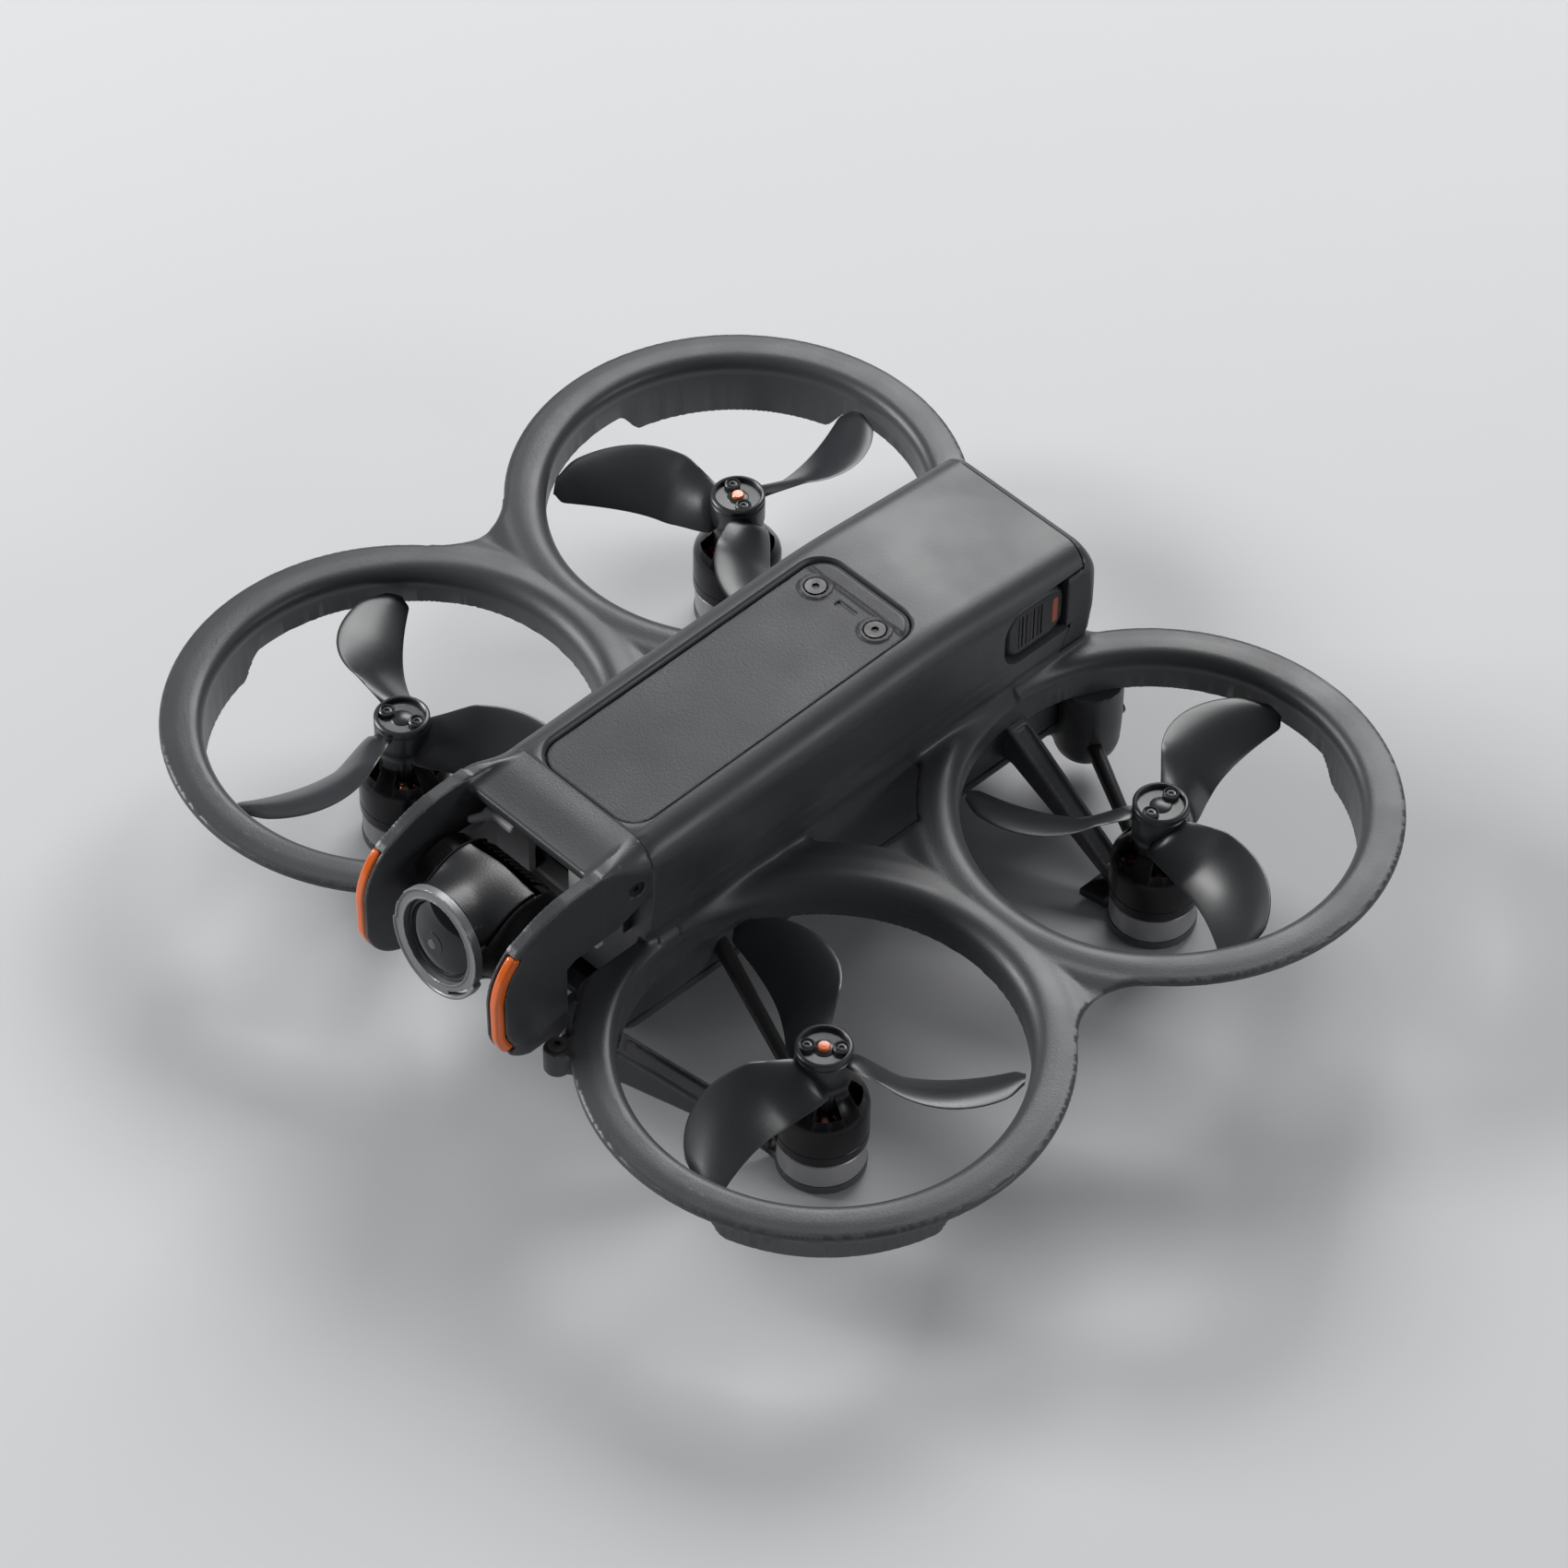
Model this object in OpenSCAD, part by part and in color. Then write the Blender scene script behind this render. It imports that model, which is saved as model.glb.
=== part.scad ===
// Ducted FPV racing drone: four guarded rotors around a slim fuselage, with a
// tilting camera in the nose and a battery that slides out of the tail.
// Millimetres. Origin on the ground under the middle of the drone, +Z up,
// nose towards -Y, the drone's own left towards +X.

/* [Layout] */
// Sideways distance of each rotor axis from the middle
rotor_x = 58.7; // [57:0.1:60]
// Lengthways distance of each rotor axis from the middle
rotor_y = 45.2; // [44.5:0.1:46]
// Height of the duct lips above the ground
lip_z = 34.8; // [34.4:0.1:35.2]

/* [Ducts] */
// Radius of the duct wall inside
duct_r = 38.5; // [38.2:0.1:39]
// Width of the rounded lip, inside to outside
lip_w = 8.8; // [8:0.1:9.2]
// Depth of the duct wall below the lip plane
wall_h = 9.2; // [8.2:0.1:10]
// Depth of the skirt on each outer corner
skirt_h = 14.5; // [12:0.5:16]
// Half of the arc that the skirt covers, in degrees
skirt_half = 33; // [20:1:40]

/* [Fuselage] */
// Half width of the fuselage where the ducts meet it
side_x = 18.4; // [18:0.1:18.6]
// Height of the top at the highest point
top_z = 64; // [63.5:0.1:65]
// Height of the joint between shell and belly cover
split_z = 16; // [15:0.5:17]
// Underside of the belly cover
belly_z = 8.5; // [8:0.5:9]
// Wall thickness of the shell
wall = 1.8; // [1.5:0.1:2]

/* [Rotors] */
// Radius of the propellers
prop_r = 37.6; // [36:0.1:37.8]
// Radius of the propeller hubs
hub_r = 5.5; // [5:0.1:5.8]
// Outside radius of the motor bells
bell_r = 9; // [8.8:0.1:9.1]
// Advance of the blades in one turn
blade_pitch = 75; // [55:1:80]

/* [Camera] */
// Lengthways place of the tilt axis
tilt_y = -74; // [-74.5:0.1:-73.5]
// Height of the tilt axis
tilt_z = 46; // [45.5:0.1:46.5]
// Upward tilt of the lens at rest, in degrees
rest_tilt = 7.5; // [0:0.5:15]
// Radius of the camera barrel
barrel_r = 10; // [9:0.1:10.2]
// Outside radius of the lens bezel
bezel_r = 11.8; // [11:0.1:12]

/* [Battery] */
// Half width of the battery case
batt_x = 16; // [15.5:0.1:16.1]
// Underside of the battery case
batt_z = 29.7; // [29.6:0.1:30]
// Top of the battery case
batt_top = 58.2; // [57:0.1:58.3]
// Front end of the battery case
batt_front = -8; // [-8:0.5:0]

/* [Hidden] */
$fn = 64;
shaft_r = 1.5;            // motor shaft
running_gap = 0.05;       // radial clearance of shafts and pins
fit_gap = 0.4;            // gap between pieces that slide past each other
eps = 0.01;
duct_base_z = lip_z - wall_h;
nose_y = -52.2;           // joint between shell and nose bumper
crest_y = 24;             // highest point of the top
tail_y = 66.6;            // rear end of the drone
tail_top_z = 60.6;
front_top_z = 61.7;
top_slope = atan((top_z - front_top_z) / (crest_y - nose_y));
arm_in_x = 16.5;          // inner faces of the bumper arms
arm_t = 3;
web_top = lip_z - 1.2;
web_base = lip_z - 7;
plate_w = 26.8;
plate_l = 75.4;
bay_x = batt_x + fit_gap;
bay_z = batt_z - fit_gap;
bay_top = batt_top + fit_gap;
bulkhead_y = -13;
window_y = 41.2;          // front end of the latch windows
window_z = [43.8, 57.2];
hub_z = [25, lip_z - 1];
cover_screw_x = 8.1;
belly_screws = [for (x = [-12.6, 12.6], y = [-47, 52]) [x, y]];
motor_screw_r = 6.3;
pod = [20.5, 65.5];         // centre of each tail leg
pod_r = 7;
sensor_x = 8.5;
sensor_y = 32;
fan_y = -31;
ledge_z = 36.7;           // joint between the lower shell and the end cap
tail_plane = [[63.3, lerp(top_z, tail_top_z, (63.3 - crest_y) / (tail_y - crest_y))], [57.5, ledge_z]];

// Each corner: name, side (+1 left), end (+1 rear), blade tip angle, turns clockwise
FL = [1, -1, 40, true];
FR = [-1, -1, 21, false];
RL = [1, 1, 97, false];
RR = [-1, 1, -24, true];

shell_grey = [0.2, 0.2, 0.21];
dark_grey = [0.13, 0.13, 0.14];
black = [0.05, 0.05, 0.055];
cup_grey = [0.5, 0.5, 0.52];
orange = [0.9, 0.35, 0.08];
steel = [0.6, 0.6, 0.62];
copper = [0.7, 0.38, 0.2];
board_green = [0.08, 0.25, 0.15];

// ---------------------------------------------------------------- helpers

function arc(c, r, a0, a1, n) = [for (i = [0:n]) let (a = a0 + (a1 - a0) * i / n)
    c + r * [cos(a), sin(a)]];

function lerp(a, b, t) = a + (b - a) * t;

// Rectangle with round corners, standing on the middle of its plan
module round_rect(w, l, r) {
    square([w - 2 * r, l], center = true);
    square([w, l - 2 * r], center = true);
    for (x = [-1, 1], y = [-1, 1])
        translate([x * (w / 2 - r), y * (l / 2 - r)]) circle(r);
}

// Extrudes an outline given as (y, z) from x0 to x1
module side_extrude(x0, x1) {
    translate([x0, 0, 0]) rotate([90, 0, 90]) linear_extrude(x1 - x0) children();
}

// Extrudes an outline given as (x, z) from y0 to y1
module long_extrude(y0, y1) {
    translate([0, y1, 0]) rotate([90, 0, 0]) linear_extrude(y1 - y0) children();
}

// Mirrors a piece drawn for the left rear corner onto another corner
module to_corner(c) {
    mirror([c[0] < 0 ? 1 : 0, 0, 0]) mirror([0, c[1] < 0 ? 1 : 0, 0]) children();
}

module at_rotor(c) {
    translate([c[0] * rotor_x, c[1] * rotor_y, 0]) children();
}

module both_sides() {
    for (s = [0, 1]) mirror([s, 0, 0]) children();
}

// Frame of the sloping top: origin at its front edge, z = 0 on the surface
module on_top() {
    translate([0, nose_y, front_top_z]) rotate([top_slope, 0, 0]) children();
}

// Frame of the camera: origin on the tilt axis, lens along -Y
module on_camera() {
    translate([0, tilt_y, tilt_z]) rotate([-rest_tilt, 0, 0]) children();
}

// ------------------------------------------------------------------ ducts

lip_c = duct_r + lip_w / 2;

// Section of a duct: straight throat, flat rounded lip with a thin outer edge, and a
// flared wall below it. Radii are measured from the rotor axis, heights from the lip.
function duct_section() = concat(
    [[duct_r, -wall_h]],
    arc([duct_r + 2.7, -2.7], 2.7, 180, 90, 10),
    arc([duct_r + lip_w - 0.8, -1.1], 0.8, 72, -60, 8),
    [[duct_r + lip_w - 2.6, -3.4], [duct_r + 3.3, -6.2], [duct_r + 1.6, -wall_h]]);

module duct_ring() {
    translate([rotor_x, rotor_y, lip_z]) {
        rotate_extrude($fn = 128) polygon(duct_section());
        rotate([0, 0, 42 - skirt_half]) rotate_extrude(angle = 2 * skirt_half)
            polygon([[duct_r, -skirt_h], [duct_r + 1.7, -skirt_h], [duct_r + 3.2, -6.3],
                [duct_r + 2, -5.2], [duct_r, -5.2]]);
    }
}

// Plan of the web that ties a duct to its neighbour and to the fuselage.
// web_r is where the web ends around the front ducts.
module web_plan(front) {
    notch_r = 12.8;
    notch_x = 98.3;
    web_r = 52.3;
    hole_x = 31;
    difference() {
        union() {
            polygon([[hole_x, 0], [notch_x, 0], [rotor_x, rotor_y]]);
            if (front) intersection() {
                translate([rotor_x, rotor_y]) circle(web_r, $fn = 128);
                translate([side_x, 0]) square([26, 32]);
            }
        }
        translate([notch_x, 0]) circle(notch_r);
        translate([rotor_x, rotor_y]) circle(lip_c, $fn = 128);
    }
}

boss = [25, 81.3];      // plan of the screw boss beside each front duct
boss_r = 2.7;

module boss_plan() {
    difference() {
        translate(boss) {
            circle(boss_r);
            rotate(atan2(rotor_y - boss[1], rotor_x - boss[0])) translate([0, -2]) square([7, 4]);
        }
        translate([rotor_x, rotor_y]) circle(lip_c, $fn = 128);
    }
}

module duct(c) {
    front = c[1] < 0;
    color(shell_grey) to_corner(c) difference() {
        union() {
            intersection() {
                union() {
                    duct_ring();
                    difference() {
                        translate([0, 0, web_base]) linear_extrude(web_top - web_base)
                            web_plan(front);
                        translate([rotor_x, rotor_y, 0]) cylinder(r = duct_r, h = 90);
                    }
                }
                translate([side_x, 0, 0]) cube([100, 100, 60]);
            }
            if (front) translate([0, 0, lip_z - 7]) linear_extrude(5.8) boss_plan();
        }
        if (front) translate([boss[0], boss[1], lip_z - 8]) cylinder(r = 0.9, h = 9);
    }
}

module duct_front_left() duct(FL);
module duct_front_right() duct(FR);
module duct_rear_left() duct(RL);
module duct_rear_right() duct(RR);

// --------------------------------------------------------------- fuselage

shoulder_r = 6.2;
bulge_x = 20.2;

// Closes the outline of a right half, given from bottom to top, with its mirror image
function both_halves(half) = concat(half,
    [for (i = [len(half) - 1:-1:0]) [-half[i][0], half[i][1]]]);

module fuselage_section() {
    polygon(both_halves(concat(
        [[side_x, split_z], [side_x, lip_z + 0.3], [side_x + 1, 39.5], [bulge_x, 47]],
        arc([bulge_x - shoulder_r, top_z - shoulder_r], shoulder_r, 0, 90, 12))));
}

module shell_outside() {
    intersection() {
        long_extrude(nose_y - 24, tail_y) fuselage_section();
        side_extrude(-30, 30) polygon([
            [-73, split_z], [-73, 33], [nose_y, 35], [nose_y, front_top_z],
            [crest_y, top_z], tail_plane[0], tail_plane[1], [66, ledge_z], [66, split_z]]);
    }
}

// Side view of a latch window, open to the rear; inset makes it smaller all round
module window_plan(inset, rear_y) {
    r = 3;
    h = window_z[1] - window_z[0] - 2 * inset;
    translate([window_y + inset, window_z[0] + inset]) {
        translate([r, 0]) square([rear_y - window_y - inset - r, h]);
        translate([0, r]) square([rear_y - window_y - inset, h - 2 * r]);
        for (z = [r, h - r]) translate([r, z]) circle(r);
    }
}

module latch_window(s) {
    side_extrude(s > 0 ? bay_x - 1 : -30, s > 0 ? 30 : 1 - bay_x) window_plan(0, 90);
}

module fuselage_shell() {
    color(shell_grey) difference() {
        shell_outside();
        // battery bay, open at the tail
        translate([-bay_x, bulkhead_y, bay_z]) cube([2 * bay_x, 90, bay_top - bay_z]);
        // electronics bay, open below
        translate([-15.8, nose_y + wall, 0]) cube([31.6, bulkhead_y - 2 - nose_y - wall, 58.4]);
        // space under the battery floor
        translate([-15.8, bulkhead_y - 2 - eps, 0]) cube([31.6, 77, bay_z - wall]);
        // gimbal bay between the two cheeks
        translate([-16.4, -90, 0]) cube([32.8, 90 + nose_y, 90]);
        // recess for the top cover, and the opening below it
        on_top() {
            translate([0, 1 + plate_l / 2, -2.3]) linear_extrude(9)
                round_rect(plate_w + 0.6, plate_l + 0.6, 5.5);
            translate([0, 21, -8]) linear_extrude(8) round_rect(21, 32, 3);
            for (x = [-1, 1]) translate([x * cover_screw_x, 69.2, -4.2])
                cylinder(r = 1, h = 5);
        }
        // window in the bulkhead for the battery socket
        translate([-13, bulkhead_y - 3, 34.8]) cube([26, 4, 14.4]);
        // cable way to the gimbal
        translate([-5, nose_y - 1, 40]) cube([10, 4, 8]);
        latch_window(1);
        latch_window(-1);
        // recess for the data port on the right side
        translate([-30, -38.2, 44.8]) cube([15, 12.4, 5.4]);
    }
}

// Outline of one bumper arm seen from the side, as (y, z)
function bumper_outline() = concat(
    [[nose_y - 0.1, 49.9], [nose_y - 0.1, 61.6], [-53.5, 62.7], [-66, 62.4], [-74, 61.4],
     [-79, 59.6]],
    arc([-76.8, 46], 14.4, 105, 180, 10) ,
    arc([-79, 40], 12.2, 190, 250, 6),
    [[-79.5, 28.6], [-75.9, 27.4], [-73.4, 29.6], [-73.4, 44.3], [-71, 45.4], [-60.9, 45.6]]);

module trim_band(grow) {
    side_extrude(arm_in_x + 0.5 - grow, arm_in_x + arm_t + 1) difference() {
        translate([-95, 34.6 - grow]) square([14, 22.6 + 2 * grow]);
        translate([-76.4, 45.5]) circle(12.9 - grow);
    }
}

module bumper_side() {
    side_extrude(arm_in_x, arm_in_x + arm_t) polygon(bumper_outline());
}

module nose_bumper() {
    color(dark_grey) difference() {
        union() {
            both_sides() bumper_side();
            // deck between the arms, with a thin rear edge
            side_extrude(-arm_in_x, arm_in_x)
                polygon([[nose_y - 0.1, 58.6], [nose_y - 0.1, 61.4], [-64.6, 61.2], [-65, 60.6],
                    [-65, 59.9], [-64, 59.5]]);
        }
        both_sides() trim_band(0.05);
        // side screws
        both_sides() translate([arm_in_x - 1, -56, 53.5]) rotate([0, 90, 0]) {
            cylinder(r = 0.9, h = 6);
            translate([0, 0, 3.4]) cylinder(r = 1.7, h = 3);
        }
    }
}

module bumper_trim(s) {
    color(orange) mirror([s > 0 ? 0 : 1, 0, 0]) intersection() {
        bumper_side();
        trim_band(0);
    }
}

module bumper_trim_left() bumper_trim(1);
module bumper_trim_right() bumper_trim(-1);

module top_cover() {
    color(dark_grey) on_top() difference() {
        translate([0, 1 + plate_l / 2, -2.3]) union() {
            linear_extrude(1.3) round_rect(plate_w, plate_l, 5.2);
            // raised band at the rear that holds the screws
            translate([0, plate_l / 2 - 7, 0]) linear_extrude(1.7) round_rect(plate_w - 2, 11, 3);
        }
        for (x = [-1, 1]) translate([x * cover_screw_x, 69.2, -5.4]) {
            cylinder(r = 1.05, h = 6);
            translate([0, 0, 4.1]) cylinder(r = 2.3, h = 3);
        }
        translate([0, 69.4, -0.9]) cube([5, 1.6, 1.2], center = true);
    }
}

module cover_screws() {
    color(steel) on_top() for (x = [-1, 1]) translate([x * cover_screw_x, 69.2, -4.1])
        difference() {
            union() {
                cylinder(r = 0.95, h = 3.4);
                translate([0, 0, 2.85]) cylinder(r = 2.1, h = 0.6);
            }
            translate([0, 0, 3.1]) cylinder(r = 0.8, h = 1, $fn = 6);
        }
}

belly_front = -60;
belly_rear = 63;

module belly_section(inset) {
    polygon(both_halves([[13.5 - inset, belly_z + inset], [17.2 - inset, 12],
        [side_x - inset, split_z]]));
}

module belly_cover() {
    color(shell_grey) difference() {
        union() {
            difference() {
                intersection() {
                    long_extrude(belly_front, belly_rear) belly_section(0);
                    side_extrude(-30, 30) polygon([[belly_front, split_z], [belly_front + 12, belly_z],
                        [belly_rear - 6, belly_z], [belly_rear, 12], [belly_rear, split_z]]);
                }
                intersection() {
                    long_extrude(belly_front + 2, belly_rear - 1.8) translate([0, 0.01])
                        belly_section(wall);
                    side_extrude(-30, 30) polygon([[belly_front + 3, 17], [belly_front + 14, belly_z],
                        [belly_rear - 2, belly_z], [belly_rear - 2, 17]]);
                }
            }
            for (p = belly_screws) translate([p[0], p[1], belly_z + 1])
                cylinder(r = 2.4, h = split_z - belly_z - 1);
            // tail legs
            both_sides() difference() {
                union() {
                    translate([pod[0], pod[1], 10.5]) sphere(pod_r);
                    translate([pod[0], pod[1], 10.5]) cylinder(r = pod_r, h = duct_base_z - 10.6);
                }
                translate([-90, 0, split_z]) cube([90 + side_x + 0.3, 90, 30]);
                translate([-90, belly_rear - 20, 0]) cube([90 + 12.5, 20 + eps, 30]);
                translate([-90 + 12.5, 20, 0]) cube([90, belly_rear - 6 - 20, 30]);
                // seat of the tail sensor
                translate([pod[0], pod[1] + 3, 13]) rotate([-75, 0, 0]) cylinder(r = 3.7, h = 9);
            }
        }
        for (p = belly_screws) translate([p[0], p[1], belly_z - 1]) {
            cylinder(r = 0.9, h = 20);
            cylinder(r = 2, h = 2.2);
        }
        // air inlet
        for (i = [-3:3]) translate([-9, fan_y + 3.2 * i - 0.8, belly_z - 1]) cube([18, 1.6, 4]);
        // downward sensors
        for (x = [-sensor_x, 0, sensor_x]) translate([x, sensor_y, belly_z - 1])
            cylinder(r = x == 0 ? 2.3 : 3.6, h = 5);
    }
}

// ------------------------------------------------------------------- arms

// Side outline of a slanted arm, as (distance from the rotor axis, z)
function arm_outline(reach) = [
    [8, 1], [8, 3], [8.8, 3], [9.7, 3.4], [9.7, 6.7], [36.6, duct_base_z], [reach, duct_base_z],
    [reach, 16.4], [38, 16.1], [24.2, 9.7], [12, 3.4], [9.4, 1]];

module arm_beam(reach, angle) {
    rotate([0, 0, angle]) rotate([90, 0, 0]) translate([0, 0, -1.6]) linear_extrude(3.2)
        polygon(arm_outline(reach));
}

module tube(a, b, r) {
    d = b - a;
    translate(a) rotate([0, acos(d[2] / norm(d)), atan2(d[1], d[0])]) cylinder(r = r, h = norm(d));
}

// Arm drawn for the left rear corner
module arm(c) {
    front = c[1] < 0;
    color(dark_grey) to_corner(c) difference() {
        union() {
            translate([rotor_x, rotor_y, 0]) {
                if (front) arm_beam(50, 144);
                else arm_beam(44, 180);
                translate([0, 0, 1]) cylinder(r = 8.8, h = 2);
            }
            // flat lug beside the motor
            translate([0, 0, 1]) linear_extrude(2) polygon([
                [rotor_x - 7, rotor_y - 5], [rotor_x - 5, rotor_y + 3],
                [rotor_x - 14, rotor_y + 2.2], [rotor_x - 14, rotor_y - 6.2]]);
            tube_brace(front);
        }
        // side of the fuselage
        translate([side_x - 40, 0, 0]) cube([40, 100, 40]);
        translate([rotor_x, rotor_y, 0]) {
            cylinder(r = shaft_r + 0.6, h = 4);
            motor_screw_holes(0.75, 1.3);
        }
    }
}

module tube_brace(front) {
    difference() {
        if (front) tube([rotor_x - 6, rotor_y - 5, 3.2], [10, rotor_y - 14, 24], 1.8);
        else tube([rotor_x - 6.5, rotor_y + 5.5, 4.2], [pod[0], pod[1] - 1, 13.5], 1.8);
        if (!front) translate([pod[0], pod[1], 0]) cylinder(r = pod_r, h = 40);
        translate([rotor_x, rotor_y, 3]) cylinder(r = bell_r + 0.6, h = 40);
    }
}

module motor_screw_holes(r, head_r) {
    for (a = [45:90:315]) rotate([0, 0, a]) translate([motor_screw_r, 0, 0]) {
        cylinder(r = r, h = 4.6);
        cylinder(r = head_r, h = 1.9);
    }
}

module arm_front_left() arm(FL);
module arm_front_right() arm(FR);
module arm_rear_left() arm(RL);
module arm_rear_right() arm(RR);

// -------------------------------------------------------------- fasteners

module screw(head_r, head_h, shank_r, length) {
    difference() {
        union() {
            cylinder(r = head_r, h = head_h);
            cylinder(r = shank_r, h = length);
        }
        translate([0, 0, -1]) cylinder(r = head_r * 0.4, h = 1 + head_h * 0.6, $fn = 6);
    }
}

module shell_screws() {
    color(steel) {
        both_sides() {
            translate([arm_in_x + arm_t - 0.1, -56, 53.5]) rotate([0, -90, 0])
                screw(1.5, 0.5, 0.8, 2.8);
            translate([boss[0], -boss[1], lip_z - 0.3]) rotate([180, 0, 0])
                screw(1.8, 0.65, 0.8, 6);
        }
        for (p = belly_screws) translate([p[0], p[1], belly_z + 0.4])
            screw(1.8, 0.7, 0.8, 6.5);
    }
}

module motor_screws() {
    color(steel) for (c = [FL, FR, RL, RR]) at_rotor(c)
        for (a = [45:90:315]) rotate([0, 0, a]) translate([motor_screw_r, 0, 1.1])
            screw(1.2, 0.7, 0.65, 3.2);
}

module foot_pads() {
    color(black) for (c = [FL, FR, RL, RR]) at_rotor(c) difference() {
        cylinder(r = 4.6, h = 1);
        translate([0, 0, -1]) cylinder(r = 1.6, h = 4);
    }
}

// ------------------------------------------------------------ electronics

module core_board() {
    color(board_green) {
        translate([0, -33.7, 43]) linear_extrude(1.2) round_rect(29, 31, 2);
        translate([0, -36, 44.2]) linear_extrude(1.4) square(12, center = true);
        translate([7, -23, 44.2]) linear_extrude(1.1) square(7, center = true);
        translate([-8, -24, 44.2]) linear_extrude(1.1) square([9, 5], center = true);
    }
}

module heat_sink() {
    color(steel) {
        translate([0, -33.7, 39.4]) linear_extrude(1.6) round_rect(28, 29, 1);
        translate([0, -36, 41]) linear_extrude(2) square(11, center = true);
        for (i = [-4:4]) translate([3.1 * i - 0.5, -47.5, 35.5]) cube([1, 27.6, 3.9 + eps]);
    }
}

module fan_housing() {
    color(black) translate([0, fan_y, 0]) difference() {
        translate([0, 0, 19]) linear_extrude(14) round_rect(26, 27, 4);
        translate([0, 0, 20.2]) cylinder(r = 11.4, h = 20);
        difference() {
            translate([0, 0, 15]) cylinder(r = 8, h = 10);
            translate([0, 0, 15]) cylinder(r = 4.5, h = 10);
            for (a = [0:120:240]) rotate([0, 0, a]) translate([0, -1, 15]) cube([12, 2, 10]);
        }
        translate([0, 0, 18]) cylinder(r = shaft_r - 0.5 + running_gap, h = 4);
    }
}

module fan_rotor() {
    color(dark_grey) translate([0, fan_y, 0]) {
        translate([0, 0, 19.4]) cylinder(r = shaft_r - 0.5, h = 4);
        translate([0, 0, 22]) cylinder(r = 4.5, h = 9);
        translate([0, 0, 22]) cylinder(r = 10, h = 1);
        for (a = [0:30:330]) rotate([0, 0, a]) translate([4, -0.4, 22]) cube([6.6, 0.8, 9]);
    }
}

module battery_socket() {
    color(black) {
        translate([-12, bulkhead_y - 4.5, 35.2]) cube([24, 5.5, 13.6]);
        for (i = [-2:2]) translate([4.4 * i - 0.5, bulkhead_y + 1 - eps, 38.4])
            cube([1, 4.5, 7.2]);
    }
}

module down_sensors() {
    color(black) {
        for (x = [-sensor_x, sensor_x]) translate([x, sensor_y, belly_z + 0.3]) {
            cylinder(r = 3.4, h = 4.7);
            translate([0, 0, -0.3]) cylinder(r = 2.2, h = 1);
        }
        translate([0, sensor_y, belly_z + 0.3]) cylinder(r = 2.1, h = 4.7);
        translate([-13.5, sensor_y - 6, belly_z + 4.9]) cube([27, 12, 1.2]);
    }
}

module tail_sensors() {
    color(black) both_sides() translate([pod[0], pod[1] + 3, 13]) rotate([-75, 0, 0]) {
        cylinder(r = 3.5, h = 4.6);
        cylinder(r = 2.3, h = 5);
    }
}

module data_port() {
    color(black) translate([-19, -38, 45]) difference() {
        cube([6, 12, 5]);
        translate([-1, 1.5, 0.9]) cube([5, 9, 3.2]);
    }
}

// ----------------------------------------------------------------- camera

mount_y = -54.4;          // front face of the gimbal mount
damper_at = [for (x = [-10, 10], z = [39, 54]) [x, z]];
yoke_y = -58.6;
yoke_arm_x = 10.5;

module gimbal_mount() {
    color(dark_grey) difference() {
        translate([-14, mount_y, 35.6]) cube([28, nose_y - mount_y, 22]);
        translate([-5.5, mount_y - 1, 41]) cube([11, 4, 10]);
        for (p = damper_at) translate([p[0], mount_y - 1, p[1]]) rotate([-90, 0, 0])
            cylinder(r = 1.1, h = 9);
    }
}

module damper_balls() {
    color(cup_grey) for (p = damper_at) translate([p[0], 0, p[1]]) rotate([90, 0, 0]) {
        translate([0, 0, -mount_y]) cylinder(r = 2.4, h = mount_y - yoke_y);
        translate([0, 0, -mount_y - 1.8]) cylinder(r = 1, h = 7.4);
    }
}

module gimbal_yoke() {
    color(cup_grey) {
        difference() {
            union() {
                translate([-14.6, yoke_y - 1.6, 35]) cube([27.6, 1.6, 22.6]);
                // arm on the left, and arm on the right that carries the tilt motor
                side_extrude(yoke_arm_x, yoke_arm_x + 2.5) yoke_arm();
                side_extrude(-15.9, -14.4) yoke_arm();
            }
            for (p = damper_at) translate([p[0], yoke_y - 3, p[1]]) rotate([-90, 0, 0])
                cylinder(r = 1.1, h = 5);
            translate([-5.5, yoke_y - 3, 41]) cube([11, 5, 10]);
        }
        // hinge pin on the left
        translate([barrel_pin_x, tilt_y, tilt_z]) rotate([0, 90, 0])
            cylinder(r = shaft_r, h = yoke_arm_x - barrel_pin_x + 0.5);
    }
}

barrel_pin_x = 7;

module yoke_arm() {
    translate([tilt_y, tilt_z]) circle(4.6);
    polygon([[tilt_y, tilt_z - 4.6], [yoke_y, 38], [yoke_y, 50.5], [tilt_y, tilt_z + 4.6]]);
}

module tilt_motor() {
    color(black) translate([0, tilt_y, tilt_z]) rotate([0, -90, 0]) {
        translate([0, 0, yoke_arm_x]) cylinder(r = 7.8, h = 14.35 - yoke_arm_x);
        translate([0, 0, barrel_pin_x]) cylinder(r = shaft_r, h = yoke_arm_x - barrel_pin_x + eps);
    }
}

lens_seat = 10.6;         // distance of the bezel's back from the tilt axis
lens_front = 15;

module camera_housing() {
    color(black) on_camera() difference() {
        union() {
            intersection() {
                rotate([0, 90, 0]) cylinder(r = barrel_r, h = 20, center = true);
                translate([-10, -12, -12]) cube([20, 17, 24]);
            }
            rotate([90, 0, 0]) cylinder(r = 9.6, h = lens_seat);
        }
        // inside
        translate([-8, -6, -7]) cube([16, 16, 14]);
        rotate([90, 0, 0]) cylinder(r = 6.2, h = 12);
        // bores for the two tilt pins
        rotate([0, 90, 0]) cylinder(r = shaft_r + running_gap, h = 24, center = true);
    }
}

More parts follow.
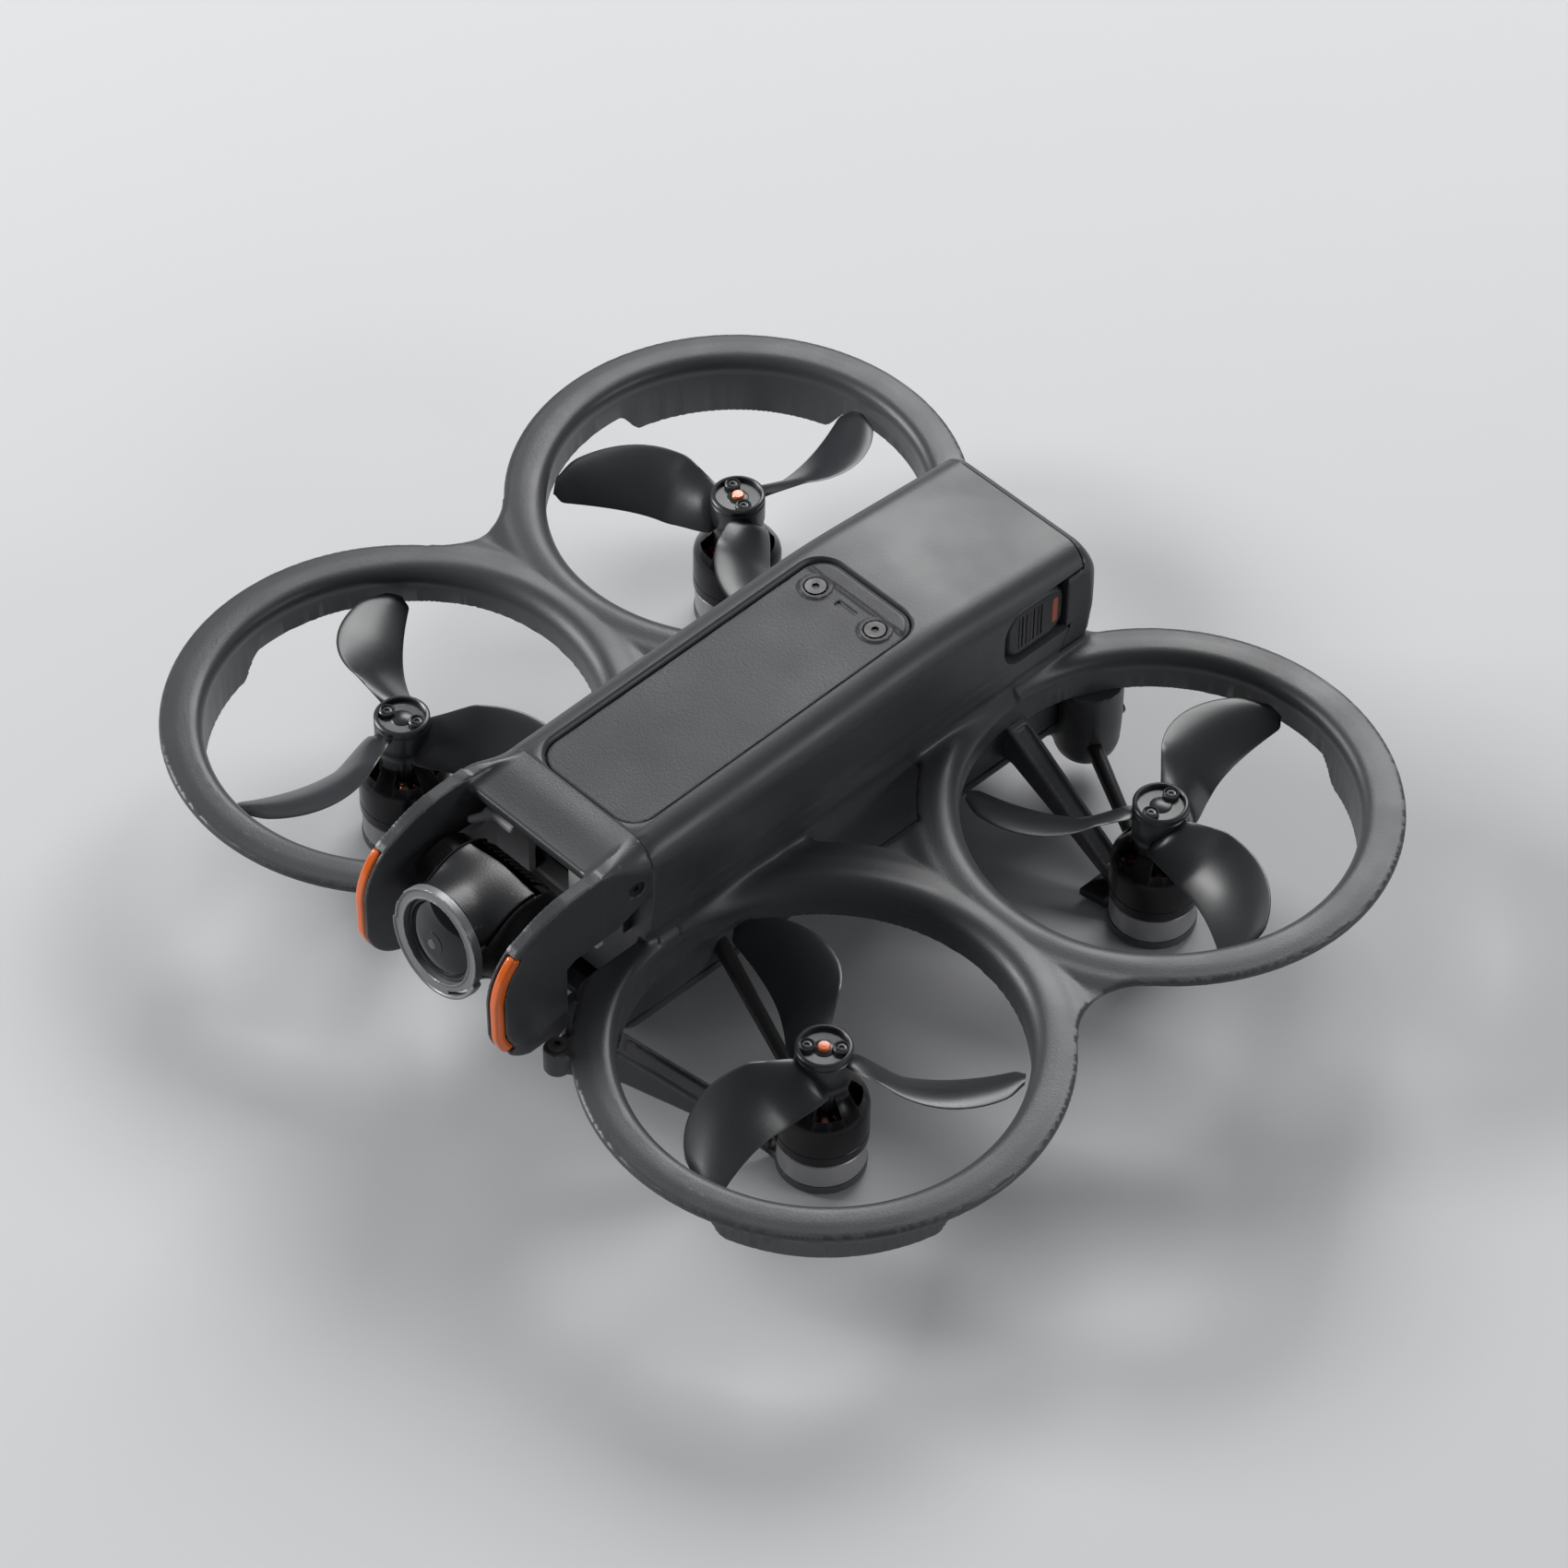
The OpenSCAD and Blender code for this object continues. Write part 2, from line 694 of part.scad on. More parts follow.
module camera_heat_sink() {
    color(dark_grey) on_camera() difference() {
        intersection() {
            union() {
                translate([-9.6, 5.1, -8]) cube([19.2, 1.6, 16]);
                for (i = [-5:5]) translate([1.8 * i - 0.4, 5.1, -9]) cube([0.8, 6, 18]);
            }
            rotate([0, 90, 0]) cylinder(r = barrel_r, h = 20, center = true);
        }
    }
}

module lens_bezel() {
    step_z = lens_seat + 1.4;
    color(cup_grey) on_camera() rotate([90, 0, 0]) difference() {
        union() {
            translate([0, 0, lens_seat]) cylinder(r = bezel_r - 1.2, h = 1.4);
            translate([0, 0, step_z]) cylinder(r = bezel_r, h = lens_front - step_z);
        }
        cylinder(r = 7.6, h = 30);
        // bayonet notches
        for (a = [200, 350]) rotate([0, 0, a]) translate([bezel_r - 0.9, -3, step_z + 0.8])
            cube([4, 6, 9]);
    }
}

module lens_glass() {
    color([0.1, 0.12, 0.14]) on_camera() rotate([90, 0, 0]) {
        translate([0, 0, 3]) cylinder(r = 6, h = lens_seat - 3 + eps);
        translate([0, 0, lens_seat]) cylinder(r = 7.5, h = 2.6);
        translate([0, 0, lens_seat + 2.6 - 14]) intersection() {
            sphere(16.6);
            translate([0, 0, 14]) cylinder(r = 7.5, h = 9);
        }
    }
}

module camera_board() {
    color(board_green) on_camera() translate([-7, 1.8, -6.5]) cube([14, 1.4, 13]);
}

// ---------------------------------------------------------------- battery

latch_pocket = 2.8;

module battery_case() {
    color(dark_grey) difference() {
        translate([-batt_x, batt_front, batt_z]) cube([2 * batt_x, 57.2 - batt_front, batt_top - batt_z]);
        translate([-batt_x + 1.2 + 1.8, batt_front + 8, batt_z + 1.2])
            cube([2 * (batt_x - 3), 48, batt_top - batt_z - 2.4]);
        // pockets for the latches
        both_sides() translate([batt_x - latch_pocket, window_y - 0.6, window_z[0] - 0.4])
            cube([9, 30, window_z[1] - window_z[0] + 0.8]);
        // seat for the contacts
        translate([-12.6, batt_front - 1, 36]) cube([25.2, 8, 12]);
    }
}

module battery_cells() {
    color([0.25, 0.35, 0.55]) for (i = [0:3])
        translate([-12.6, 0.6, batt_z + 1.6 + 6.3 * i]) cube([25.2, 47, 6]);
}

module battery_contacts() {
    color(black) difference() {
        translate([-12.4, batt_front, 36.2]) cube([24.8, 6.6, 11.6]);
        for (i = [-2:2]) translate([4.4 * i - 0.9, batt_front - 1, 37.8]) cube([1.8, 6, 8.4]);
    }
}

module battery_end_cap() {
    color(shell_grey) difference() {
        intersection() {
            long_extrude(50, tail_y) fuselage_section();
            side_extrude(-30, 30) polygon([
                tail_plane[0] + [fit_gap, 0], tail_plane[1] + [fit_gap, fit_gap],
                tail_plane[1] + [fit_gap, 0], [57.5 + fit_gap, batt_z], [tail_y - 1, batt_z],
                [tail_y, 33], [tail_y, 57], [tail_y - 1.2, 60.8], [63, 61.3]]);
        }
        // lower part fits between the walls of the shell
        both_sides() translate([batt_x, 50, 20]) cube([20, 30, ledge_z + fit_gap - 20]);
        // space for the latches and the button
        both_sides() translate([batt_x - latch_pocket, 40, window_z[0] - 0.4])
            cube([20, 18.6, window_z[1] - window_z[0] + 0.8]);
        translate([0, tail_y - 4, 40]) rotate([-90, 0, 0]) cylinder(r = 4.9, h = 9);
        for (i = [-2:2]) translate([3.4 * i, tail_y - 1, 50]) rotate([-90, 0, 0])
            cylinder(r = 0.9, h = 4);
    }
}

module battery_lights() {
    color([0.9, 0.95, 0.9]) for (i = [-2:2]) if (i != 0) translate([3.4 * i, tail_y - 1, 50])
        rotate([-90, 0, 0]) cylinder(r = 0.85, h = 0.9);
}

module power_button() {
    color(dark_grey) translate([0, tail_y - 2.6, 40]) rotate([-90, 0, 0]) {
        cylinder(r = 4.5, h = 2.5);
    }
}

module latch(s) {
    color(black) mirror([s > 0 ? 0 : 1, 0, 0]) difference() {
        side_extrude(15.4, 19.4) window_plan(fit_gap + 0.2, 58);
        for (i = [0:3]) translate([19.1, window_y + 5 + 2.2 * i, window_z[0] - 1])
            cube([1, 0.8, 20]);
    }
}

module latch_left() latch(1);
module latch_right() latch(-1);

// ----------------------------------------------------------------- motors

module motor_base(c) {
    color(cup_grey) at_rotor(c) difference() {
        union() {
            translate([0, 0, 3]) cylinder(r = 8.6, h = 5.6);
            translate([0, 0, 3]) cylinder(r = 2.7, h = 15.5);
        }
        difference() {
            translate([0, 0, 4.6]) cylinder(r = 7.6, h = 4);
            cylinder(r = 2.7, h = 9);
        }
        translate([0, 0, 1]) cylinder(r = shaft_r + running_gap, h = 30);
        for (a = [45:90:315]) rotate([0, 0, a]) translate([motor_screw_r, 0, 2])
            cylinder(r = 0.75, h = 9);
    }
}

stator_z = [9, 17.5];

module stator(c) {
    color(copper) at_rotor(c) translate([0, 0, stator_z[0]]) difference() {
        union() {
            cylinder(r = 3.8, h = stator_z[1] - stator_z[0]);
            for (a = [0:40:320]) rotate([0, 0, a]) {
                translate([3, -1.1, 0.4]) cube([3.4, 2.2, stator_z[1] - stator_z[0] - 0.8]);
                intersection() {
                    translate([6, -2.2, 0]) cube([2, 4.4, stator_z[1] - stator_z[0]]);
                    cylinder(r = 7.1, h = 20);
                }
            }
        }
        translate([0, 0, -1]) cylinder(r = 2.72, h = 30);
    }
}

module motor_bell(c) {
    color(black) at_rotor(c) {
        difference() {
            rotate_extrude() polygon([
                [0, 20], [5, 20], [7.5, 18.6], [7.5, 9.1], [bell_r - 0.3, 9.1],
                [bell_r, 9.4], [bell_r, 18.6], [bell_r - 0.6, 20.2], [6, 22.4], [5, 24.2],
                [5, hub_z[0]], [0, hub_z[0]]]);
            for (a = [0:60:300]) rotate([0, 0, a]) translate([6.6, 0, 15.5])
                cylinder(r = 1.5, h = 9);
        }
        translate([0, 0, 3.6]) cylinder(r = shaft_r, h = 17);
    }
}

// ------------------------------------------------------------- propellers

// Angles of the two blade edges from the tip's middle, and the section's
// height, all as functions of the radius. The leading edge is the swept one.
function lead_angle(r) = 36.5 - 30 * pow(max(0, (r - 14) / 23.5), 1.7);
function trail_angle(r) =
    min(44, 40 * exp(-(r - 7.3) / 4.2) + 5.5 * pow(max(0, (r - 10) / 28), 1.5));
function chord(r) = (lead_angle(r) + trail_angle(r)) * PI / 180 * r;
function blade_rise(r) = min(9, 5 + 0.45 * (r - 5), blade_pitch / (2 * PI * r) * chord(r));
function blade_t(r) = lerp(1.5, 0.7, (r - 5) / (prop_r - 5));

blade_mid_z = 29.2;
blade_rows = 11;
blade_cols = 6;

// One point of a blade: u runs from the leading edge (0) to the trailing edge (1)
function blade_point(r, u, side) =
    let (a = -lead_angle(r) + u * (lead_angle(r) + trail_angle(r)),
         camber = 0.07 * chord(r) * sin(180 * u),
         edge = 0.12 + 0.88 * sin(180 * min(1, u * 0.9 + 0.08)))
    [r * cos(a), r * sin(a),
     blade_mid_z + blade_rise(r) * (0.5 - u) + camber + side * blade_t(r) / 2 * edge];

module blade() {
    n = 2 * blade_cols;
    pts = [for (i = [0:blade_rows]) let (r = lerp(hub_r - 1.2, prop_r, i / blade_rows))
        for (k = [0:n - 1]) k < blade_cols
            ? blade_point(r, k / (blade_cols - 1), 1)
            : blade_point(r, (n - 1 - k) / (blade_cols - 1), -1)];
    last = blade_rows * n;
    faces = concat(
        [for (k = [1:n - 2]) [0, k + 1, k]],
        [for (k = [1:n - 2]) [last, last + k, last + k + 1]],
        [for (i = [0:blade_rows - 1], k = [0:n - 1]) let (k2 = (k + 1) % n)
            [i * n + k, i * n + k2, (i + 1) * n + k]],
        [for (i = [0:blade_rows - 1], k = [0:n - 1]) let (k2 = (k + 1) % n)
            [(i + 1) * n + k, i * n + k2, (i + 1) * n + k2]]);
    polyhedron(pts, faces, convexity = 4);
}

module propeller(c) {
    color(dark_grey) at_rotor(c) rotate([0, 0, c[2]]) {
        for (a = [0, 120, 240]) rotate([0, 0, a]) mirror([0, c[3] ? 0 : 1, 0]) blade();
        difference() {
            translate([0, 0, hub_z[0]]) cylinder(r = hub_r, h = hub_z[1] - hub_z[0]);
            translate([0, 0, hub_z[1] - 1]) difference() {
                cylinder(r = hub_r - 0.7, h = 2);
                cylinder(r = 1.9, h = 2);
            }
            for (s = [-1, 1]) translate([3.3 * s, 0, hub_z[1] - 4]) cylinder(r = 0.8, h = 5);
        }
    }
}

module motor_base_front_left() motor_base(FL);
module motor_base_front_right() motor_base(FR);
module motor_base_rear_left() motor_base(RL);
module motor_base_rear_right() motor_base(RR);
module stator_front_left() stator(FL);
module stator_front_right() stator(FR);
module stator_rear_left() stator(RL);
module stator_rear_right() stator(RR);
module motor_bell_front_left() motor_bell(FL);
module motor_bell_front_right() motor_bell(FR);
module motor_bell_rear_left() motor_bell(RL);
module motor_bell_rear_right() motor_bell(RR);
module propeller_front_left() propeller(FL);
module propeller_front_right() propeller(FR);
module propeller_rear_left() propeller(RL);
module propeller_rear_right() propeller(RR);

// ------------------------------------------------------------------ nodes

fuselage_shell();
duct_front_left();
duct_front_right();
duct_rear_left();
duct_rear_right();
nose_bumper();
bumper_trim_left();
bumper_trim_right();
top_cover();
cover_screws();
belly_cover();
arm_front_left();
arm_front_right();
arm_rear_left();
arm_rear_right();
shell_screws();
motor_screws();
foot_pads();
core_board();
heat_sink();
fan_housing();
fan_rotor();
battery_socket();
down_sensors();
tail_sensors();
data_port();
gimbal_mount();
damper_balls();
gimbal_yoke();
tilt_motor();
camera_housing();
camera_heat_sink();
lens_bezel();
lens_glass();
camera_board();
battery_case();
battery_cells();
battery_end_cap();
battery_contacts();
battery_lights();
power_button();
latch_left();
latch_right();
motor_base_front_left();
motor_base_front_right();
motor_base_rear_left();
motor_base_rear_right();
stator_front_left();
stator_front_right();
stator_rear_left();
stator_rear_right();
motor_bell_front_left();
motor_bell_front_right();
motor_bell_rear_left();
motor_bell_rear_right();
propeller_front_left();
propeller_front_right();
propeller_rear_left();
propeller_rear_right();
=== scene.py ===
from math import asin, atan, ceil, cos, exp, hypot, pi, radians, sin, tan

import bmesh
import bpy
import numpy as np
from mathutils import Matrix, Vector


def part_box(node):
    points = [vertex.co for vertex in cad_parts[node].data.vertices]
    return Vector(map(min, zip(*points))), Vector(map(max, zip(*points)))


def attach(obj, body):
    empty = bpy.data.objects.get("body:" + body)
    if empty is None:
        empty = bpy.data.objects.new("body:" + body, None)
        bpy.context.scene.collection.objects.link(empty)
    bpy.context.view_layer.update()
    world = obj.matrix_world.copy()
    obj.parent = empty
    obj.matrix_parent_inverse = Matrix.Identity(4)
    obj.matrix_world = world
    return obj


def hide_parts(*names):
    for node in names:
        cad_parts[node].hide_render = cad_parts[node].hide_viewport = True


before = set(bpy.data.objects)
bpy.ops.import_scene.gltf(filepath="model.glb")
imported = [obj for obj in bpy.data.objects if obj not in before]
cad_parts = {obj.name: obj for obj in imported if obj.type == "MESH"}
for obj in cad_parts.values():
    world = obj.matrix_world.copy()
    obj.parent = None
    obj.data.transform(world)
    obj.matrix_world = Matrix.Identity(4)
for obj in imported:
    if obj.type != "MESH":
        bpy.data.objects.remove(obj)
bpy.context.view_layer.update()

# Lengths below are in millimetres, in the row frame; M turns them into metres.
M = 0.001
FINE = 1.0


def span(node):
    """Lowest and highest corner of a CAD node, in millimetres."""
    low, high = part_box(node)
    return np.array(low) / M, np.array(high) / M


def middle(node):
    low, high = span(node)
    return (low + high) / 2


# ---- materials

def material(name, colour, rough, metal=0.0, coat=0.0, grain=(900, 0.05), wear=0.12,
             mottle=0.05, drift=1.0):
    """Procedural finish: fine grain in the bump, drifting roughness, mottled colour and pale worn edges.
    grain is (scale per metre, bump strength); wear and mottle are shares of white and of the base colour,
    and drift scales the change in roughness."""
    m = bpy.data.materials.new(name)
    m.use_nodes = True
    nodes, links = m.node_tree.nodes, m.node_tree.links
    bsdf = nodes["Principled BSDF"]
    bsdf.inputs["Metallic"].default_value = metal
    bsdf.inputs["Coat Weight"].default_value = coat
    bsdf.inputs["Coat Roughness"].default_value = 0.12
    place = nodes.new("ShaderNodeTexCoord")

    def noise(scale, detail=3.0):
        n = nodes.new("ShaderNodeTexNoise")
        n.inputs["Scale"].default_value = scale
        n.inputs["Detail"].default_value = detail
        links.new(place.outputs["Object"], n.inputs["Vector"])
        return n.outputs["Fac"]

    def spread(source, low, high, start=0.3, end=0.7):
        n = nodes.new("ShaderNodeMapRange")
        for key, value in (("From Min", start), ("From Max", end), ("To Min", low), ("To Max", high)):
            n.inputs[key].default_value = value
        links.new(source, n.inputs["Value"])
        return n.outputs["Result"]

    def mix(share, a, b):
        n = nodes.new("ShaderNodeMix")
        n.data_type = "RGBA"
        links.new(share, n.inputs[0])
        for socket, value in ((n.inputs[6], a), (n.inputs[7], b)):
            if isinstance(value, tuple):
                socket.default_value = (*value, 1)
            else:
                links.new(value, socket)
        return n.outputs[2]

    dark = tuple(c * (1 - mottle) for c in colour)
    light = tuple(min(1.0, c * (1 + mottle)) for c in colour)
    tone = mix(spread(noise(45), 0, 1), dark, light)
    if wear > 0:
        bend = nodes.new("ShaderNodeNewGeometry")
        worn = tuple(min(1.0, c + (1 - c) * wear) for c in colour)
        edge = spread(bend.outputs["Pointiness"], 0, 1, 0.53, 0.62)
        broken = nodes.new("ShaderNodeMath")
        broken.operation = "MULTIPLY"
        links.new(edge, broken.inputs[0])
        links.new(spread(noise(260), 0.25, 1), broken.inputs[1])
        tone = mix(broken.outputs[0], tone, worn)
    links.new(tone, bsdf.inputs["Base Color"])
    links.new(spread(noise(70), rough * (1 - 0.12 * drift), min(1, rough * (1 + 0.14 * drift))),
              bsdf.inputs["Roughness"])
    bump = nodes.new("ShaderNodeBump")
    bump.inputs["Strength"].default_value = grain[1]
    bump.inputs["Distance"].default_value = 0.0002
    links.new(noise(grain[0], 2), bump.inputs["Height"])
    links.new(bump.outputs["Normal"], bsdf.inputs["Normal"])
    return m


SHELL = material("shell_plastic", (0.05, 0.052, 0.056), 0.4, grain=(2600, 0.16), wear=0.04)
NOSE = material("bumper_plastic", (0.045, 0.047, 0.051), 0.36, grain=(2600, 0.16), wear=0.06)
PLATE = material("cover_plastic", (0.03, 0.031, 0.034), 0.46, grain=(2200, 0.2), wear=0.05)
DARK = material("dark_plastic", (0.018, 0.019, 0.021), 0.42, grain=(2600, 0.14), wear=0.04)
BLADE = material("blade_plastic", (0.024, 0.026, 0.029), 0.3, grain=(1500, 0.05), wear=0.05)
BELL = material("bell_metal", (0.009, 0.009, 0.011), 0.24, metal=0.5, grain=(1800, 0.03), wear=0.04)
CUP = material("mount_metal", (0.3, 0.3, 0.31), 0.4, metal=0.4, grain=(1500, 0.08))
STEEL = material("screw_steel", (0.035, 0.035, 0.037), 0.38, metal=0.8, grain=(1500, 0.05), wear=0.08)
COPPER = material("winding_copper", (0.55, 0.2, 0.08), 0.3, metal=1.0, grain=(1200, 0.1), wear=0.2)
CORE = material("stator_steel", (0.3, 0.3, 0.31), 0.35, metal=1.0, grain=(900, 0.1))
ORANGE = material("orange_trim", (0.76, 0.13, 0.006), 0.2, coat=0.5, grain=(900, 0.02), wear=0.06)
RIM = material("bezel_metal", (0.2, 0.203, 0.21), 0.33, metal=0.25, grain=(2000, 0.05))
BODY = material("camera_plastic", (0.018, 0.0185, 0.02), 0.36, grain=(2600, 0.15), wear=0.04)
FINS = material("camera_fins", (0.02, 0.021, 0.023), 0.35, metal=0.5, grain=(1800, 0.08), wear=0.1)
GLASS = material("lens_glass", (0.003, 0.004, 0.006), 0.06, grain=(300, 0.0), wear=0, mottle=0.3)
# Pupil seen in the lens: dark like the lens's inside, with a green tint that is a painted reflection of the
# lens coating.
PUPIL_PAINTED_REFLECTION = material("lens_pupil_painted_reflection", (0.03, 0.042, 0.014), 0.1, coat=1.0, grain=(300, 0.01), wear=0, mottle=0.3)
BRACKET = material("gimbal_plastic", (0.42, 0.42, 0.43), 0.45, grain=(2200, 0.12), wear=0.1)
RUBBER = material("rubber", (0.02, 0.02, 0.021), 0.7, grain=(1400, 0.2), wear=0.02)
RED = material("red_mark", (0.4, 0.07, 0.035), 0.35, grain=(900, 0.05), wear=0.05)
LIGHTS = material("indicator", (0.7, 0.72, 0.7), 0.3, grain=(900, 0.03), wear=0)
BOARD = material("circuit_board", (0.02, 0.07, 0.04), 0.4, grain=(700, 0.2))
CELL = material("cell_wrap", (0.05, 0.09, 0.2), 0.35, grain=(500, 0.08), wear=0.03)
SINK = material("sink_aluminium", (0.5, 0.5, 0.51), 0.35, metal=1.0, grain=(1200, 0.08), wear=0.1)
ARM = material("arm_plastic", (0.055, 0.057, 0.061), 0.42, grain=(2600, 0.14), wear=0.05)


# ---- shapes from fields

def smooth(t):
    """0 below 0, 1 above 1, and an even curve between."""
    t = np.clip(t, 0, 1)
    return t * t * (3 - 2 * t)


def join(a, b, k):
    """Union of two distance fields with a fillet of about k."""
    h = np.clip(0.5 + 0.5 * (b - a) / k, 0, 1)
    return b + (a - b) * h - k * h * (1 - h)


def keep(a, b, k=0.01):
    """Intersection of two distance fields with a rounded edge of about k."""
    return -join(-a, -b, k)


def within(*fields):
    """Sharp intersection of any number of distance fields."""
    whole = fields[0]
    for field in fields[1:]:
        whole = np.maximum(whole, field)
    return whole


def cut(a, b, k=0.01):
    """a without b."""
    return keep(a, -b, k)


def brick(x, y, z, centre, half, r):
    """Block with edges rounded to r."""
    qx, qy, qz = (abs(v - c) - h + r for v, c, h in zip((x, y, z), centre, half))
    out = np.sqrt(np.maximum(qx, 0) ** 2 + np.maximum(qy, 0) ** 2 + np.maximum(qz, 0) ** 2)
    return out + np.minimum(np.maximum(qx, np.maximum(qy, qz)), 0) - r


def corner(a, b, r):
    """Inside of both a and b, with the edge between them rounded to exactly r.
    With a flat outline and a height it makes a slab with round edges."""
    a, b = a + r, b + r
    return np.minimum(np.maximum(a, b), 0) + np.hypot(np.maximum(a, 0), np.maximum(b, 0)) - r


def drum(along, p, q, low, high, radius, r):
    """Cylinder along one axis, from low to high, with edges rounded to r."""
    return corner(np.hypot(p, q) - radius, abs(along - (low + high) / 2) - (high - low) / 2, r)


def rod(x, y, z, a, b, r0, r1):
    """Round bar from a to b whose radius goes from r0 to r1."""
    a, b = np.array(a, float), np.array(b, float)
    d = b - a
    px, py, pz = x - a[0], y - a[1], z - a[2]
    t = np.clip((px * d[0] + py * d[1] + pz * d[2]) / (d @ d), 0, 1)
    return np.sqrt((px - t * d[0]) ** 2 + (py - t * d[1]) ** 2 + (pz - t * d[2]) ** 2) - (r0 + (r1 - r0) * t)


def outline(u, v, pts):
    """Signed distance to a closed outline."""
    pts = np.array(pts, float)
    best = np.full(u.shape, 1e9)
    inside = np.zeros(u.shape, bool)
    for (ax, ay), (bx, by) in zip(pts, np.roll(pts, -1, 0)):
        ex, ey = bx - ax, by - ay
        wx, wy = u - ax, v - ay
        t = np.clip((wx * ex + wy * ey) / (ex * ex + ey * ey), 0, 1)
        best = np.minimum(best, (wx - ex * t) ** 2 + (wy - ey * t) ** 2)
        if ay != by:
            inside ^= ((ay > v) != (by > v)) & (u < ex * (v - ay) / (by - ay) + ax)
    return np.where(inside, -1, 1) * np.sqrt(best)


def steps(low, high, size):
    """Grid positions from low to at least high."""
    return low + np.arange(int(ceil((high - low) / size)) + 1) * size


def fill_diagonals(d):
    """Fills corners that would make two parts of the surface touch along a line; True if there were any."""
    found = False
    for axis in range(3):
        p, q = [n for n in range(3) if n != axis]
        v = np.moveaxis(d, (p, q), (0, 1))
        a, b, c, e = v[:-1, :-1] < 0, v[1:, :-1] < 0, v[:-1, 1:] < 0, v[1:, 1:] < 0
        for one, other, offsets in ((a & e, b | c, ((1, 0), (0, 1))), (b & c, a | e, ((0, 0), (1, 1)))):
            at = np.nonzero(one & ~other)
            if len(at[0]):
                found = True
                for i, j in offsets:
                    v[at[0] + i, at[1] + j, at[2]] = -1e-3
    return found


def sculpt(field, axes):
    """Mesh of the surface where field is zero: points on it, and faces with four corners.
    The grid is sampled finely only near the surface."""
    size = max(float(np.max(np.diff(a))) for a in axes)
    skip, band = 4, 6.6
    d = field(*np.meshgrid(*(a[::skip] for a in axes), indexing="ij"))
    for k in range(3):
        d = np.repeat(d, skip, k).take(range(len(axes[k])), k)
    near = np.nonzero(abs(d) < band * size)
    d[near] = field(*(a[i] for a, i in zip(axes, near)))
    for _ in range(8):
        if not fill_diagonals(d):
            break
    inside = d < 0
    cells = tuple(n - 1 for n in d.shape)

    def shifted(array, o):
        return array[o[0]:o[0] + cells[0], o[1]:o[1] + cells[1], o[2]:o[2] + cells[2]]

    corners = [(i, j, k) for i in (0, 1) for j in (0, 1) for k in (0, 1)]
    count = sum(shifted(inside, o).astype(np.int8) for o in corners)
    active = np.nonzero((count > 0) & (count < 8))
    number = np.full(cells, -1)
    number[active] = np.arange(len(active[0]))
    total, hits = np.zeros((len(active[0]), 3)), np.zeros(len(active[0]))
    for o in corners:
        for axis in range(3):
            if o[axis]:
                continue
            e = tuple(o[n] + (n == axis) for n in range(3))
            da, db = shifted(d, o)[active], shifted(d, e)[active]
            cross = (da < 0) != (db < 0)
            t = np.where(cross, da / np.where(cross, da - db, 1), 0)
            for n in range(3):
                place = axes[n][active[n] + o[n]]
                if n == axis:
                    place = place + t * (axes[n][active[n] + 1] - axes[n][active[n]])
                total[:, n] += np.where(cross, place, 0)
            hits += cross
    points = total / hits[:, None]
    faces = []
    for axis in range(3):
        p, q = [n for n in range(3) if n != axis]
        a = np.moveaxis(inside, axis, 0)
        flips = np.moveaxis(a[:-1] != a[1:], 0, axis)
        at = np.nonzero(flips)
        ok = (at[p] > 0) & (at[q] > 0) & (at[p] < cells[p]) & (at[q] < cells[q])
        at = [v[ok] for v in at]
        ring = []
        for dp, dq in ((-1, -1), (0, -1), (0, 0), (-1, 0)):
            where = list(at)
            where[p], where[q] = at[p] + dp, at[q] + dq
            ring.append(number[tuple(where)])
        ring = np.stack(ring, 1)
        outward = inside[tuple(at)] == (axis != 1)
        ring[~outward] = ring[~outward][:, ::-1]
        faces.append(ring)
    faces = np.concatenate(faces)
    # a few short moves down the slope bring the points onto the surface
    h = 0.02
    for _ in range(4):
        v = points.T
        value = field(*v)
        slope = np.stack([(field(*(v + h * s)) - field(*(v - h * s))) / (2 * h)
                          for s in np.eye(3)[:, :, None]], 1)
        step = value[:, None] * slope / np.maximum((slope ** 2).sum(1), 0.2)[:, None]
        length = np.linalg.norm(step, axis=1, keepdims=True)
        points = points - step * np.minimum(1, 0.35 * size / np.maximum(length, 1e-9))
    return points, faces


def placed(name, data):
    """Object with that data, in the scene."""
    obj = bpy.data.objects.new(name, data)
    bpy.context.scene.collection.objects.link(obj)
    return obj


def mesh_object(name, points, faces, mat):
    """Object from points in millimetres and an array of equal faces or a list of any faces."""
    mesh = bpy.data.meshes.new(name)
    if isinstance(faces, np.ndarray):
        n = faces.shape[1]
        mesh.vertices.add(len(points))
        mesh.vertices.foreach_set("co", (np.asarray(points) * M).ravel())
        mesh.loops.add(faces.size)
        mesh.loops.foreach_set("vertex_index", faces.ravel())
        mesh.polygons.add(len(faces))
        mesh.polygons.foreach_set("loop_start", np.arange(len(faces)) * n)
        mesh.update(calc_edges=True)
        mesh.validate()
    else:
        mesh.from_pydata([tuple(c * M for c in p) for p in points], [], faces)
    mesh.materials.append(mat)
    return placed(name, mesh)


def bake(obj):
    """Applies the object's modifiers."""
    mesh = bpy.data.meshes.new_from_object(obj.evaluated_get(bpy.context.evaluated_depsgraph_get()))
    obj.modifiers.clear()
    obj.data = mesh


def thin_out(obj, most):
    """Collapses edges until the object has at most that many triangles."""
    have = sum(len(p.vertices) - 2 for p in obj.data.polygons)
    if have > most:
        m = obj.modifiers.new("thin", "DECIMATE")
        m.ratio = most / have
        bake(obj)
    return obj


def carve(obj, tool):
    """Exact cut of obj by tool, which is then deleted."""
    m = obj.modifiers.new("cut", "BOOLEAN")
    m.operation, m.solver, m.object = "DIFFERENCE", "MANIFOLD", tool
    bake(obj)
    bpy.data.objects.remove(tool)


def fit(obj, body, nodes, angle=32):
    """Finishes a piece: shading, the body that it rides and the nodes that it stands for."""
    obj.data.shade_smooth()
    obj.data.set_sharp_from_angle(angle=radians(angle))
    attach(obj, body)
    if nodes:
        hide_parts(*nodes)


